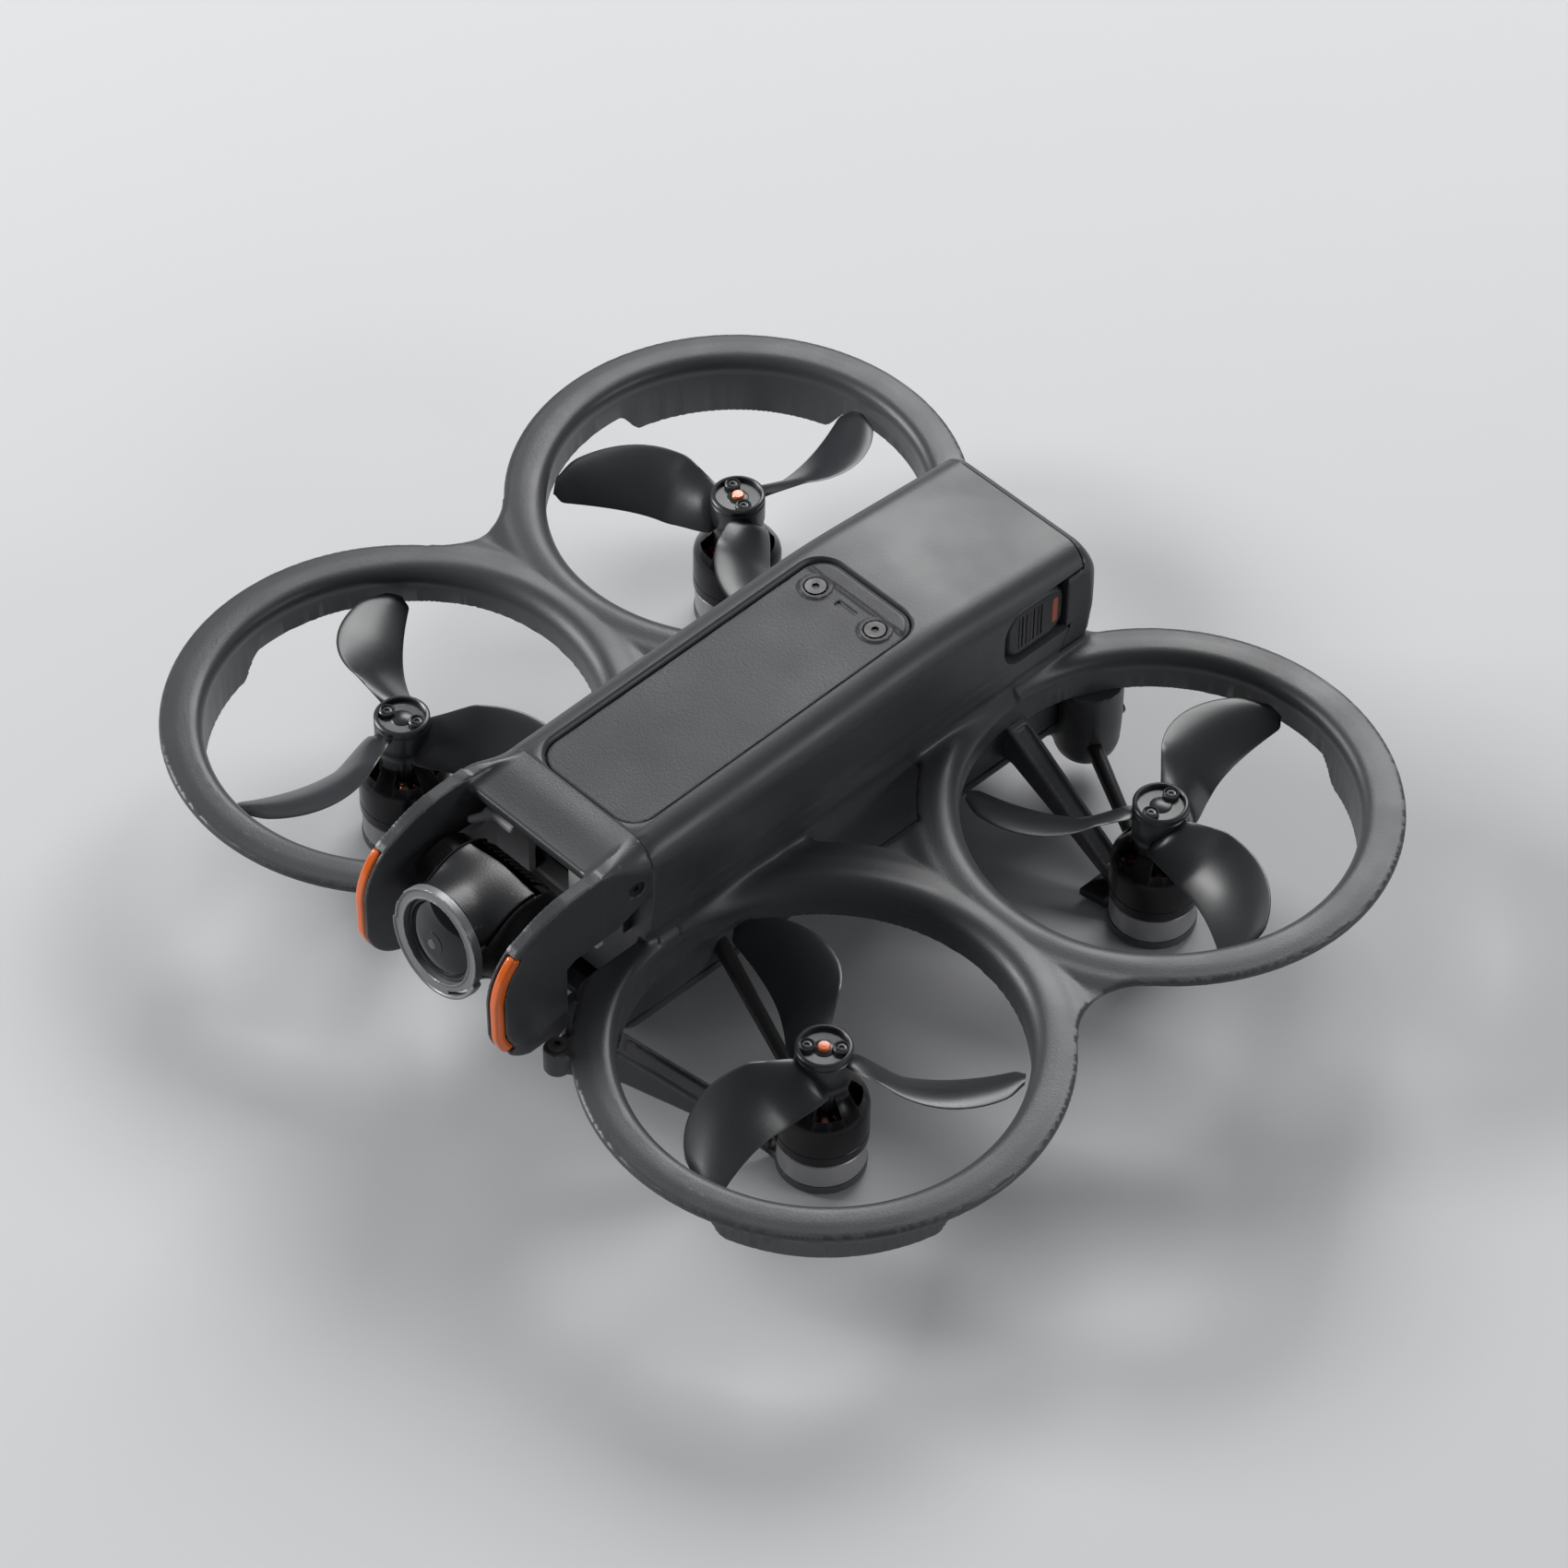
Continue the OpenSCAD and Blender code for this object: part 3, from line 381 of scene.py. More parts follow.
def shape(name, field, low, high, size, mat, most):
    """Object sculpted from a field inside a box, on a grid of that size, with at most that many triangles."""
    size = size * FINE
    axes = [steps(low[n] - 1.1 * size, high[n] + 1.1 * size, size) for n in range(3)]
    return thin_out(mesh_object(name, *sculpt(field, axes), mat), most)


def stand_in(name, node, body, field, size, mat, most, angle, below=0.2, above=0.2):
    """Sculpted piece in place of one CAD node, inside that node's box grown at its low and high corners."""
    low, high = span(node)
    fit(shape(name, field, low - below, high + above, size, mat, most), body, [node], angle)


def bands(count, n, base=0, loop=False):
    """Faces between neighbouring rings of n points each; loop joins the last ring to the first."""
    faces = []
    for i in range(count if loop else count - 1):
        for k in range(n):
            j, m = (k + 1) % n, (i + 1) % count
            faces.append(tuple(base + v for v in (i * n + k, i * n + j, m * n + j, m * n + k)))
    return faces


def turned(name, profile, mat, centre=(0, 0, 0), sides=96):
    """Solid of revolution about +Z from (radius, z) pairs, given from the bottom of the axis to its top."""
    n = len(profile)
    points, faces = [], []
    for i in range(sides):
        a = 2 * pi * i / sides
        points += [(centre[0] + r * cos(a), centre[1] + r * sin(a), centre[2] + z)
                   for r, z in profile]
    for i in range(sides):
        j = (i + 1) % sides
        for k in range(n - 1):
            faces.append((i * n + k, j * n + k, j * n + k + 1, i * n + k + 1))
    obj = mesh_object(name, points, faces, mat)
    clean(obj)
    return obj


def clean(obj):
    """Welds coincident points, drops empty faces and turns all faces outwards."""
    bm = bmesh.new()
    bm.from_mesh(obj.data)
    bmesh.ops.remove_doubles(bm, verts=bm.verts, dist=1e-7)
    bmesh.ops.dissolve_degenerate(bm, edges=bm.edges, dist=1e-7)
    bmesh.ops.recalc_face_normals(bm, faces=bm.faces)
    bm.to_mesh(obj.data)
    bm.free()


def prism(name, flat, low, high, mat, bevel=0.0, segments=3, to=None):
    """Outline of (u, v) points raised from low to high, with rounded rims; to maps them to the row frame."""
    n = len(flat)
    points = [(u, v, low) for u, v in flat] + [(u, v, high) for u, v in flat]
    faces = [tuple(range(n))[::-1], tuple(range(n, 2 * n))]
    faces += [(i, (i + 1) % n, n + (i + 1) % n, n + i) for i in range(n)]
    if to:
        points = [to(*p) for p in points]
    obj = mesh_object(name, points, faces, mat)
    bm = bmesh.new()
    bm.from_mesh(obj.data)
    bmesh.ops.recalc_face_normals(bm, faces=bm.faces)
    if bevel:
        rims = [e for e in bm.edges if any(len(f.verts) == n for f in e.link_faces) and n != 4 or
                n == 4 and e.calc_face_angle(0) > 0.5]
        bmesh.ops.bevel(bm, geom=rims, offset=bevel * M, segments=segments, profile=0.5, affect="EDGES")
    bm.to_mesh(obj.data)
    bm.free()
    return obj


def round_rect(w, l, r, centre=(0, 0), n=10):
    """Outline of a rectangle with round corners."""
    pts = []
    for sx, sy, start in ((1, 1, 0), (-1, 1, 90), (-1, -1, 180), (1, -1, 270)):
        for i in range(n + 1):
            a = radians(start + 90 * i / n)
            pts.append((centre[0] + sx * (w / 2 - r) + r * cos(a),
                        centre[1] + sy * (l / 2 - r) + r * sin(a)))
    return pts


def circle(r, n, centre):
    return [(centre[0] + r * cos(2 * pi * i / n), centre[1] + r * sin(2 * pi * i / n))
            for i in range(n)]


def merge(name, pieces):
    """One object from several, with their materials."""
    slots, points, faces, which = [], [], [], []
    for o in pieces:
        base = len(points)
        mat = o.data.materials[0]
        if mat not in slots:
            slots.append(mat)
        points += [tuple(o.matrix_world @ v.co) for v in o.data.vertices]
        faces += [tuple(base + v for v in p.vertices) for p in o.data.polygons]
        which += [slots.index(mat)] * len(o.data.polygons)
        bpy.data.objects.remove(o)
    mesh = bpy.data.meshes.new(name)
    mesh.from_pydata(points, [], faces)
    for mat in slots:
        mesh.materials.append(mat)
    mesh.polygons.foreach_set("material_index", which)
    return placed(name, mesh)


# ---- dimensions

rotor = middle("motor_bell_front_left")
rotor_x, rotor_y = rotor[0], -rotor[1]
duct_low, duct_high = span("duct_front_left")
lip_z = duct_high[2]
duct_out = duct_high[0] - rotor_x
lip_w = 8.8
wall_h = 9.2
skirt_drop = 5.3
duct_in = duct_out - lip_w
screw_head_r = 1.8
screws_low, screws_high = span("shell_screws")
boss_x, boss_y = screws_high[0] - screw_head_r, -screws_low[1] - screw_head_r
shell_low, shell_high = span("fuselage_shell")
side_x = duct_low[0]
bulge_x = shell_high[0]
split_z = shell_low[2]
nose_y = span("nose_bumper")[1][1] + 0.1
tail_y = span("battery_end_cap")[1][1]
top_z = shell_high[2]
crest_y = 24.0
front_top = top_z - 2.3
tail_top = top_z - 3.4
shoulder = 6.2
slope = atan((top_z - front_top) / (crest_y - nose_y))


def roof(y):
    """Height of the top surface along the drone."""
    front = front_top + (y - nose_y) * tan(slope)
    rear = top_z - (y - crest_y) * (top_z - tail_top) / (tail_y - crest_y)
    return join(front, rear, 1.0)


def body_side(z):
    """Half width of the fuselage at height z."""
    return side_x + smooth((z - 34.6) / 4.9) + (bulge_x - side_x - 1) * smooth((z - 38) / 9)


def body(x, y, z):
    """The long middle part, without ends."""
    return corner(abs(x) - body_side(z), z - roof(y), shoulder)


def skirt(angle):
    """1 where the duct wall is deep, at each outer corner, and 0 elsewhere; angle in degrees from +X."""
    return smooth((angle - 5) / 8) * smooth((79 - angle) / 8)


def lip_top(r):
    """Height of the ducts' top face: a slight crown, then a shallow dip over the webs."""
    return lip_z - 0.4 * smooth((r - 43) / 4) - 0.8 * smooth((r - 47) / 4.5)


def duct_field(x, y, z):
    """Each quarter's duct: its lip and wall, the throat to keep clear, the radius, and the height over it."""
    px, py = abs(x) - rotor_x, abs(y) - rotor_y
    r = np.hypot(px, py)
    angle = np.degrees(np.arctan2(py, px))
    inward = smooth((-angle - 25) / 50)
    low = lip_z - wall_h - skirt_drop * skirt(angle) + 1.4 * inward
    top = z - lip_top(r)
    flare = np.interp(lip_z - z, [1.6, 3.6, 6.2, wall_h],
                      [duct_out - 0.1, duct_in + 6.3, duct_in + 3.3, duct_in + 1.7])
    lip = keep(corner(r - duct_out, top, 0.9), (r - flare) * 0.72, 0.7)
    throat = corner(duct_in - r, top, 2.6 + 1.9 * inward)
    return keep(lip, low - z, 0.7), throat, r, top


def web_field(x, y, z, r, top):
    """Web between two neighbouring ducts, and its flange along the front duct up to the fuselage."""
    ax, ay = abs(x), abs(y)
    hole_x, notch_x = 30.4, 98.3
    reach = hypot(notch_x - rotor_x, rotor_y)
    right = ((ax - notch_x) * rotor_y + ay * (notch_x - rotor_x)) / reach
    notch = reach - duct_out - np.hypot(ax - notch_x, ay)
    plan = within(keep(hole_x - ax, notch, 0.1), right, ay - 26)
    flange = within(r - 52.3, ax - 42, y + 1.2, -32 - y)
    plan = join(plan, flange, 0.8)
    edge = np.minimum(plan, r - duct_out)
    base = lip_z - 1.9 - 4.4 * smooth(-plan / 6)
    return within(keep(corner(edge, top, 0.9), base - z, 0.7), plan)


def skin_field(x, y, z):
    """Fuselage, ducts, webs and bosses as one moulded shell."""
    ax = abs(x)
    main = body(x, y, z)
    main = keep(main, y - tail_y + 0.4 * smooth((z - 50) / 10), 3)
    main = within(main, nose_y - y, split_z - z)
    cheek = brick(ax, y, z, (17.4, -57.8, 24.6), (1.0, 15.2, 8.8), 0.7)
    cheek = keep(cheek, z - (lip_z - 1.1) - 0.4 * (y + 58) / 15, 0.5)
    main = join(main, within(cheek, split_z - z), 0.6)
    duct, throat, r, top = duct_field(x, y, z)
    arms = within(join(duct, web_field(x, y, z, r, top), 0.4), throat)
    boss = drum(z, ax - boss_x, y + boss_y, lip_z - 7, lip_z - 1, 2.7, 0.5)
    arms = join(arms, boss, 1.4)
    arms = within(arms, 16.6 - ax)
    whole = np.where(y < nose_y + 2, join(main, arms, 1.6), join(main, arms, 3.2))
    clear = duct_in - 5 * smooth((z - lip_z + 4.5) / 8)
    whole = keep(whole, clear - r + 0.05, 0.8)
    hole = drum(z, ax - boss_x, y + boss_y, lip_z - 9, lip_z + 5, 0.95, 0.01)
    return cut(whole, hole, 0.1)


# ---- frame skin

def build_skin():
    """The moulded shell before its openings are cut, on a mirrored grid that is finer over the fuselage."""
    across = np.concatenate([steps(-0.55, 21.8, 0.55 * FINE), steps(22.3, 109, 0.8 * FINE)])
    across = across[across > 0.3]
    axes = [np.concatenate([-across[::-1], across]), steps(-95, 95, 0.65 * FINE),
            steps(split_z - 1.3, top_z + 2, 0.55 * FINE)]
    return thin_out(mesh_object("frame_skin", *sculpt(skin_field, axes), SHELL), 120000)


def on_top(u, v, w):
    """Row-frame point for a place on the sloping top: u across, v back from the nose joint, w above it."""
    return (u, nose_y + v * cos(slope) - w * sin(slope),
            front_top + v * sin(slope) + w * cos(slope))


def to_top(x, y, z):
    """The reverse of on_top, for arrays."""
    dy, dz = y - nose_y, z - front_top
    return x, dy * cos(slope) + dz * sin(slope), dz * cos(slope) - dy * sin(slope)


def from_side(u, v, w):
    """Row-frame point for an outline drawn in side view."""
    return (w, u, v)


def block(name, low, high):
    """Cutting block from one corner to the other."""
    flat = [(low[0], low[1]), (high[0], low[1]), (high[0], high[1]), (low[0], high[1])]
    return prism(name, flat, low[2], high[2], SHELL)


def flared(name, flat_of, levels, to):
    """Closed tool lofted through outlines: levels are (growth, height) pairs, flat_of(growth) an outline."""
    rings = [[to(u, v, w) for u, v in flat_of(g)] for g, w in levels]
    n = len(rings[0])
    points = [p for ring in rings for p in ring]
    faces = [tuple(range(n))[::-1], tuple(range((len(rings) - 1) * n, len(rings) * n))]
    obj = mesh_object(name, points, faces + bands(len(rings), n), SHELL)
    clean(obj)
    return obj


plate_low, plate_high = span("top_cover")
plate_w = plate_high[0] - plate_low[0]
plate_l = 75.4
plate_mid = 1 + plate_l / 2
window_low = np.array([41.2, 43.8])
window_high = np.array([90.0, 57.2])
ledge_z = 36.7
seam_low, seam_high = (57.5, ledge_z), (63.3, 61.1)


def window_flat(grow):
    """Latch window in side view, as (y, z); grow makes it larger all round."""
    w, h = window_high - window_low + 2 * grow
    return round_rect(w, h, 5 + grow, (window_high + window_low) / 2)


def seam_flat():
    """Region behind the tail seam, in side view."""
    lean = (seam_high[0] - seam_low[0]) / (seam_high[1] - seam_low[1])
    far, top = 100, 75
    return [seam_low, (far, ledge_z), (far, top), (seam_low[0] + lean * (top - ledge_z), top)]


def finish_skin():
    def recess_flat(g):
        return round_rect(plate_w + 0.6 + 2 * g, plate_l + 0.6 + 2 * g, 5.5 + g, (0, plate_mid))

    skin = build_skin()
    rim = [(0, -2.4), (0, -0.9), (0.3, -0.4), (0.75, -0.05), (1.3, 0.1), (3.6, 2.4)]
    carve(skin, flared("recess", recess_flat, rim, on_top))
    for name, low, high in (("electronics_bay", (-15.8, nose_y + 1.8, 0), (15.8, -15, 58.2)),
                            ("under_floor", (-15.8, -15.2, 0), (15.8, 62, 27.5)),
                            ("battery_bay", (-16.4, -13, 29.3), (16.4, 90, 58.6)),
                            ("socket_window", (-13, -16, 34.8), (13, -12, 49.2))):
        carve(skin, block(name, low, high))
    carve(skin, prism("tail", seam_flat(), -40, 40, SHELL, to=from_side))
    for s in (-1, 1):
        carve(skin, flared("window", window_flat, [(0, 14.5), (0, 18.9), (1.6, 22.5)],
                           lambda u, v, w: (s * w, u, v)))
    port_low, port_high = span("data_port")
    flat = round_rect(port_high[1] - port_low[1] + 0.4, port_high[2] - port_low[2] + 0.4, 1.2,
                      tuple((port_low + port_high)[1:] / 2))
    carve(skin, prism("port", flat, -30, -15, SHELL, to=from_side))
    fit(skin, "frame", ["fuselage_shell", "duct_front_left", "duct_front_right", "duct_rear_left",
                        "duct_rear_right"], 35)


def top_cover():
    screw_x, screw_v = 8.1, 69.2

    def field(x, y, z):
        """Plate, its raised rear part, a collar and hole for each screw, and the notch between them."""
        u, v, w = to_top(x, y, z)
        flat = corner(abs(u) - plate_w / 2, abs(v - plate_mid) - plate_l / 2, 5.2)
        d = corner(flat, abs(w + 1.75) - 0.75, 0.3)
        d = join(d, corner(within(flat + 0.9, 72.2 - v), abs(w + 1.5) - 0.9, 0.35), 0.9)
        r = np.hypot(abs(u) - screw_x, v - screw_v)
        d = join(d, corner(within(r - 3.35, 2.3 - r), abs(w + 1.2) - 0.5, 0.2), 0.3)
        d = cut(d, corner(r - 2.35, abs(w) - 1.75, 0.05), 0.15)
        slot_x, slot_v = abs(u) - 2.5, abs(v - screw_v) - 0.75
        return cut(d, corner(within(slot_x, slot_v), abs(w) - 1.45, 0.02), 0.12)

    stand_in("cover_plate", "top_cover", "frame", field, 0.33, PLATE, 50000, 32, 0, (0, 0, 0.4))


def polar(c, r, a0, a1, n):
    """Points along an arc, with angles in degrees."""
    return [(c[0] + r * cos(radians(a0 + (a1 - a0) * i / n)),
             c[1] + r * sin(radians(a0 + (a1 - a0) * i / n))) for i in range(n + 1)]


arm_in = 16.5
arm_out = 19.5
bumper_flat = ([(nose_y + 0.4, 49.4), (nose_y + 0.4, 62.0), (-58, 62.5), (-66, 62.3)]
               + polar((-70, 36.0), 26.1, 97, 118, 6)
               + polar((-76.8, 46), 14.4, 125, 180, 12) + polar((-79, 40), 12.2, 190, 250, 8)
               + [(-79.5, 28.6), (-75.9, 27.4), (-73.4, 29.6), (-73.4, 44.3), (-71, 45.4), (-60.9, 45.6)])


def nose_bumper():
    """Deck ahead of the cover plate, the two arms beside the camera, and their trims."""
    deck_low = 58.6
    screw_at = (-56, 53.5)
    trim_r, trim_gap = 0.6, 0.12

    def field(x, y, z):
        flat = outline(y, z, bumper_flat)
        arm = corner(flat, abs(abs(x) - (arm_in + arm_out) / 2) - (arm_out - arm_in) / 2, 0.35)
        deck_top = roof(y) - 0.05 - 0.5 * smooth((nose_y - 4 - y) / 9)
        deck = corner(within(abs(x) - 17.5, -65.2 - y),
                      abs(z - (deck_top + deck_low) / 2) - (deck_top - deck_low) / 2, 0.5)
        d = join(arm, deck, 2.6)
        # from the fuselage's round shoulder to the square edge of the arms
        radius = shoulder - 5.2 * smooth((nose_y - y) / 12)
        lift = 0.9 * smooth((nose_y - y) / 10)
        wide = (bulge_x - arm_out - 0.02) * smooth((nose_y + 1 - y) / 9)
        u = abs(x) + (bulge_x - body_side(z)) * (1 - smooth((nose_y - y) / 9)) - bulge_x + wide
        envelope = corner(u, z - roof(y) - lift, radius)
        shoulder_fill = corner(within(nose_y - 9 - y, 50.5 - z), abs(abs(x) - 18.6) - 2.1, 0.3)
        d = join(d, keep(shoulder_fill, flat, 0.3), 1.0)
        d = keep(d, np.where(y > nose_y - 12, envelope, -5.0), 0.3)
        d = within(d, y - nose_y - 0.05 + 0.2 * smooth((abs(x) - 17) / 1.5))
        # seat of the trim
        seat = within(trim_flat(y, z, flat) - trim_gap, arm_in + 0.9 - abs(x) - trim_gap)
        d = cut(d, seat, 0.15)
        dy, dz = y - screw_at[0], z - screw_at[1]
        d = cut(d, drum(abs(x), dy, dz, 19.1, 30, 1.75, 0.05), 0.3)
        return cut(d, within(np.hypot(dy, dz) - 0.9, 16 - abs(x)), 0.1)

    def trim_flat(y, z, flat):
        """Side view of the band along the arm's front edge, from the outline's distance."""
        ends = within((z - 55.0) * 0.8 + (y + 84) * 0.6, (35.2 - z) * 0.8 + (y + 84) * 0.6)
        return keep(within(-2.0 - flat, y + 79), ends, trim_r)

    stand_in("bumper_frame", "nose_bumper", "frame", field, 0.4, NOSE, 80000, 40,
             (1.2, 0, 0), (1.2, 0, 0.2))
    for side, node in ((1, "bumper_trim_left"), (-1, "bumper_trim_right")):
        def trim(x, y, z):
            flat = outline(y, z, bumper_flat)
            zone = keep(flat - trim_gap, trim_flat(y, z, flat), 0.4)
            return corner(zone, abs(side * x - 18.55) - 1.12, 0.7)

        name = node.replace("bumper_trim", "trim")
        stand_in(name, node, "frame", trim, 0.26, ORANGE, 26000, 32, 0.4, 0.4)


def tail_cap():
    """Rear end of the battery: a block under the ledge, and the hood that closes the shell above it."""
    knob_floor = span("power_button")[0][1] - 1.2
    gap = 0.35

    def field(x, y, z):
        d = body(x, y, z)
        rear = tail_y - 1.3 * smooth((z - 50) / 12) ** 2
        d = keep(d, y - rear, 2.6)
        low = within(abs(x) - 16.2, 29.2 - z)
        lower = within(low, z - ledge_z - 0.1)
        upper = within(d, ledge_z + gap - z)
        both = np.minimum(upper, keep(lower, y - tail_y + 0.4, 1.5))
        behind = -outline(y, z, [(0, 0), (seam_low[0] + gap, 0), (seam_low[0] + gap, ledge_z),
                                 (seam_high[0] + gap, seam_high[1]), (seam_high[0] + 3.0, 73), (0, 73)])
        both = keep(both, behind, 0.25)
        # tongues that close the latch windows
        tongue = within(abs(z - 50.5) - 6.3, 58.1 - y, y - 64)
        both = join(both, keep(within(tongue, 17.0 - abs(x)), body(x, y, z) + 0.05, 0.2), 0.15)
        button = np.hypot(x, z - 40)
        both = cut(both, within(button - 4.85, knob_floor - y), 0.4)
        for k in (-2, -1, 1, 2):
            both = cut(both, within(np.hypot(x - 3.4 * k, z - 50) - 0.9, tail_y - 2.0 - y), 0.15)
        # shallow grip on each side of the button
        grip = brick(abs(x), y, z, (11.4, tail_y + 0.8, 43), (1.1, 1.6, 7), 1)
        return cut(both, grip, 0.6)

    stand_in("tail_cap", "battery_end_cap", "battery", field, 0.42, SHELL, 60000, 38, (0, 0.2, 0), 0)


def latches():
    root, pitch = 15.4, 1.05
    for s, node in ((1, "latch_left"), (-1, "latch_right")):
        low, high = span(node)
        reach = max(abs(low[0]), abs(high[0]))
        y0, y1, mid_z, half_z = low[1], high[1], (low[2] + high[2]) / 2, (high[2] - low[2]) / 2

        def field(x, y, z):
            flat = corner(abs(y - (y0 + y1) / 2) - (y1 - y0) / 2, abs(z - mid_z) - half_z, 4.4)
            d = corner(flat, abs(s * x - (root + reach) / 2) - (reach - root) / 2, 1.3)
            rib = 0.5 - abs((y - y0 + 0.2) / pitch % 1 - 0.5)
            groove = (0.42 - rib) * pitch
            zone = within(abs(y - (y0 + 6.8)) - 3.8, abs(z - mid_z) - 4.1)
            groove = within(groove, zone, reach - 0.5 - s * x)
            return cut(d, groove, 0.2)

        name = node.replace("latch", "catch")
        key = shape(name, field, low - 0.2, high + 0.2, 0.24, DARK, 26000)
        mark = prism("mark", round_rect(1.4, 6.4, 0.6, (y1 - 2.7, mid_z)), s * (reach - 0.4),
                     s * (reach + 0.02), RED, 0.02, 1, to=from_side)
        fit(merge(name + "_key", [key, mark]), node, [node])


def power_button():
    low, high = span("power_button")
    c, tall = (low + high) / 2, high[1] - low[1]
    profile = [(0, 0), (4.3, 0), (4.5, 0.2), (4.5, tall - 0.4), (4.1, tall - 0.05), (3.4, tall),
               (2.9, tall - 0.25), (0, tall - 0.45)]
    knob = turned("start_knob", profile, DARK, sides=72)
    turn = Matrix.Translation((c[0] * M, low[1] * M, c[2] * M)) @ Matrix.Rotation(radians(-90), 4, "X")
    knob.data.transform(turn)
    fit(knob, "power_button", ["power_button"])


# ---- rotors

# each rotor's first blade angle in degrees, and its hand
turns = {"front_left": (40, 1), "front_right": (21, -1), "rear_left": (97, -1), "rear_right": (-24, 1)}
marked = ("front_left", "rear_right")
prop_r = 37.6
blade_pitch = 75
blade_mid_z = 29.2


def blade_mesh(first, sense):
    """Three lofted blades with round edges and a root that swells into the hub."""
    rows, half = 44, 15
    points, faces = [], []
    for b in range(3):
        base = len(points)
        for i in range(rows + 1):
            t = i / rows
            r = 4.2 + (prop_r - 4.2) * (1 - (1 - t) ** 1.12)
            lead = 36.5 - 30 * max(0, (r - 14) / 23.5) ** 1.7
            trail = min(44, 40 * exp(-(r - 7.3) / 4.2) + 5.5 * max(0, (r - 10) / 28) ** 1.5)
            tip = smooth(np.array((r - prop_r) / 2.9 + 1))
            lead -= 3.2 * tip ** 2
            trail -= 2.6 * tip ** 2
            chord = radians(lead + trail) * r
            rise = min(9, 5 + 0.45 * (r - 5), blade_pitch / (2 * pi * r) * chord)
            thick = (1.55 - 0.95 * t ** 0.7) + 1.1 * exp(-((r - 4) / 3.2) ** 2)
            for k in range(2 * half):
                a = pi * k / half
                u = 0.5 - 0.5 * cos(a)
                body_t = sin(a) * (1 - 0.35 * u)
                camber = 0.07 * chord * sin(pi * u)
                angle = -lead + u * (lead + trail)
                z = blade_mid_z + rise * (0.5 - u) + camber + body_t * thick * 0.5
                full = radians(first + 120 * b + sense * angle)
                points.append((r * cos(full), r * sin(full), z))
        n = 2 * half
        faces += bands(rows + 1, n, base)
        faces.append(tuple(base + k for k in range(n))[::-1])
        faces.append(tuple(base + rows * n + k for k in range(n)))
    return points, faces


def propellers():
    foot = span("motor_bell_front_left")[1][2]
    hub_top = lip_z - 1
    screw_r = 3.25
    # heights from the hub's top
    hub_foot = [(0, foot), (4.9, foot), (5.3, foot + 0.3), (5.3, 27.2), (5.5, 27.5)]
    hub_profile = [(r, z - hub_top) for r, z in hub_foot] + [
        (5.5, -1.7), (5.32, -1.5), (5.32, -1.2), (5.5, -1.0), (5.5, -0.35), (5.2, -0.05), (4.85, 0),
        (4.6, -0.2), (4.5, -0.95), (2.2, -1.0), (1.9, -0.75), (0, -0.7)]
    seat_profile = [(0, -1.0), (1.62, -1.0), (1.62, -0.2), (1.42, -0.05), (1.2, -0.15), (1.12, -0.6),
                    (0, -0.6)]
    dot_profile = [(0, -0.75), (1.25, -0.75), (1.25, -0.25), (1.05, -0.05), (0, 0)]
    for name, (first, sense) in turns.items():
        c = middle("motor_bell_" + name)
        points, faces = blade_mesh(first, sense)
        blades = mesh_object("blades", [(p[0] + c[0], p[1] + c[1], p[2]) for p in points], faces, BLADE)
        clean(blades)
        parts = [blades, turned("hub", hub_profile, BLADE, (c[0], c[1], hub_top))]
        a = radians(first)
        for r in (-screw_r, screw_r):
            at = (c[0] + r * cos(a), c[1] + r * sin(a))
            parts.append(turned("seat", seat_profile, BLADE, (*at, hub_top), 40))
            head = prism("head", circle(1.0, 36, at), hub_top - 0.62, hub_top - 0.25, STEEL, 0.1, 2)
            carve(head, prism("hex", circle(0.5, 6, at), hub_top - 0.5, hub_top + 1, STEEL))
            parts.append(head)
        if name in marked:
            parts.append(turned("dot", dot_profile, ORANGE, (c[0], c[1], hub_top), 48))
        fit(merge("rotor_" + name, parts), "rotor_" + name, ["propeller_" + name], 40)


def coil(loop, to, w):
    """Closed turn of wire along a flat loop at depth w."""
    wire, sides, n = 0.33, 6, len(loop)
    points = []
    for j, (u, v) in enumerate(loop):
        pu, pv = loop[j - 1]
        nu, nv = loop[(j + 1) % n]
        du, dv = nv - pv, pu - nu
        size = hypot(du, dv) or 1
        for q in range(sides):
            b = 2 * pi * q / sides
            points.append(to(u + du / size * wire * cos(b), v + dv / size * wire * cos(b),
                             w + wire * sin(b)))
    obj = mesh_object("coil", points, bands(n, sides, loop=True), COPPER)
    clean(obj)
    return obj


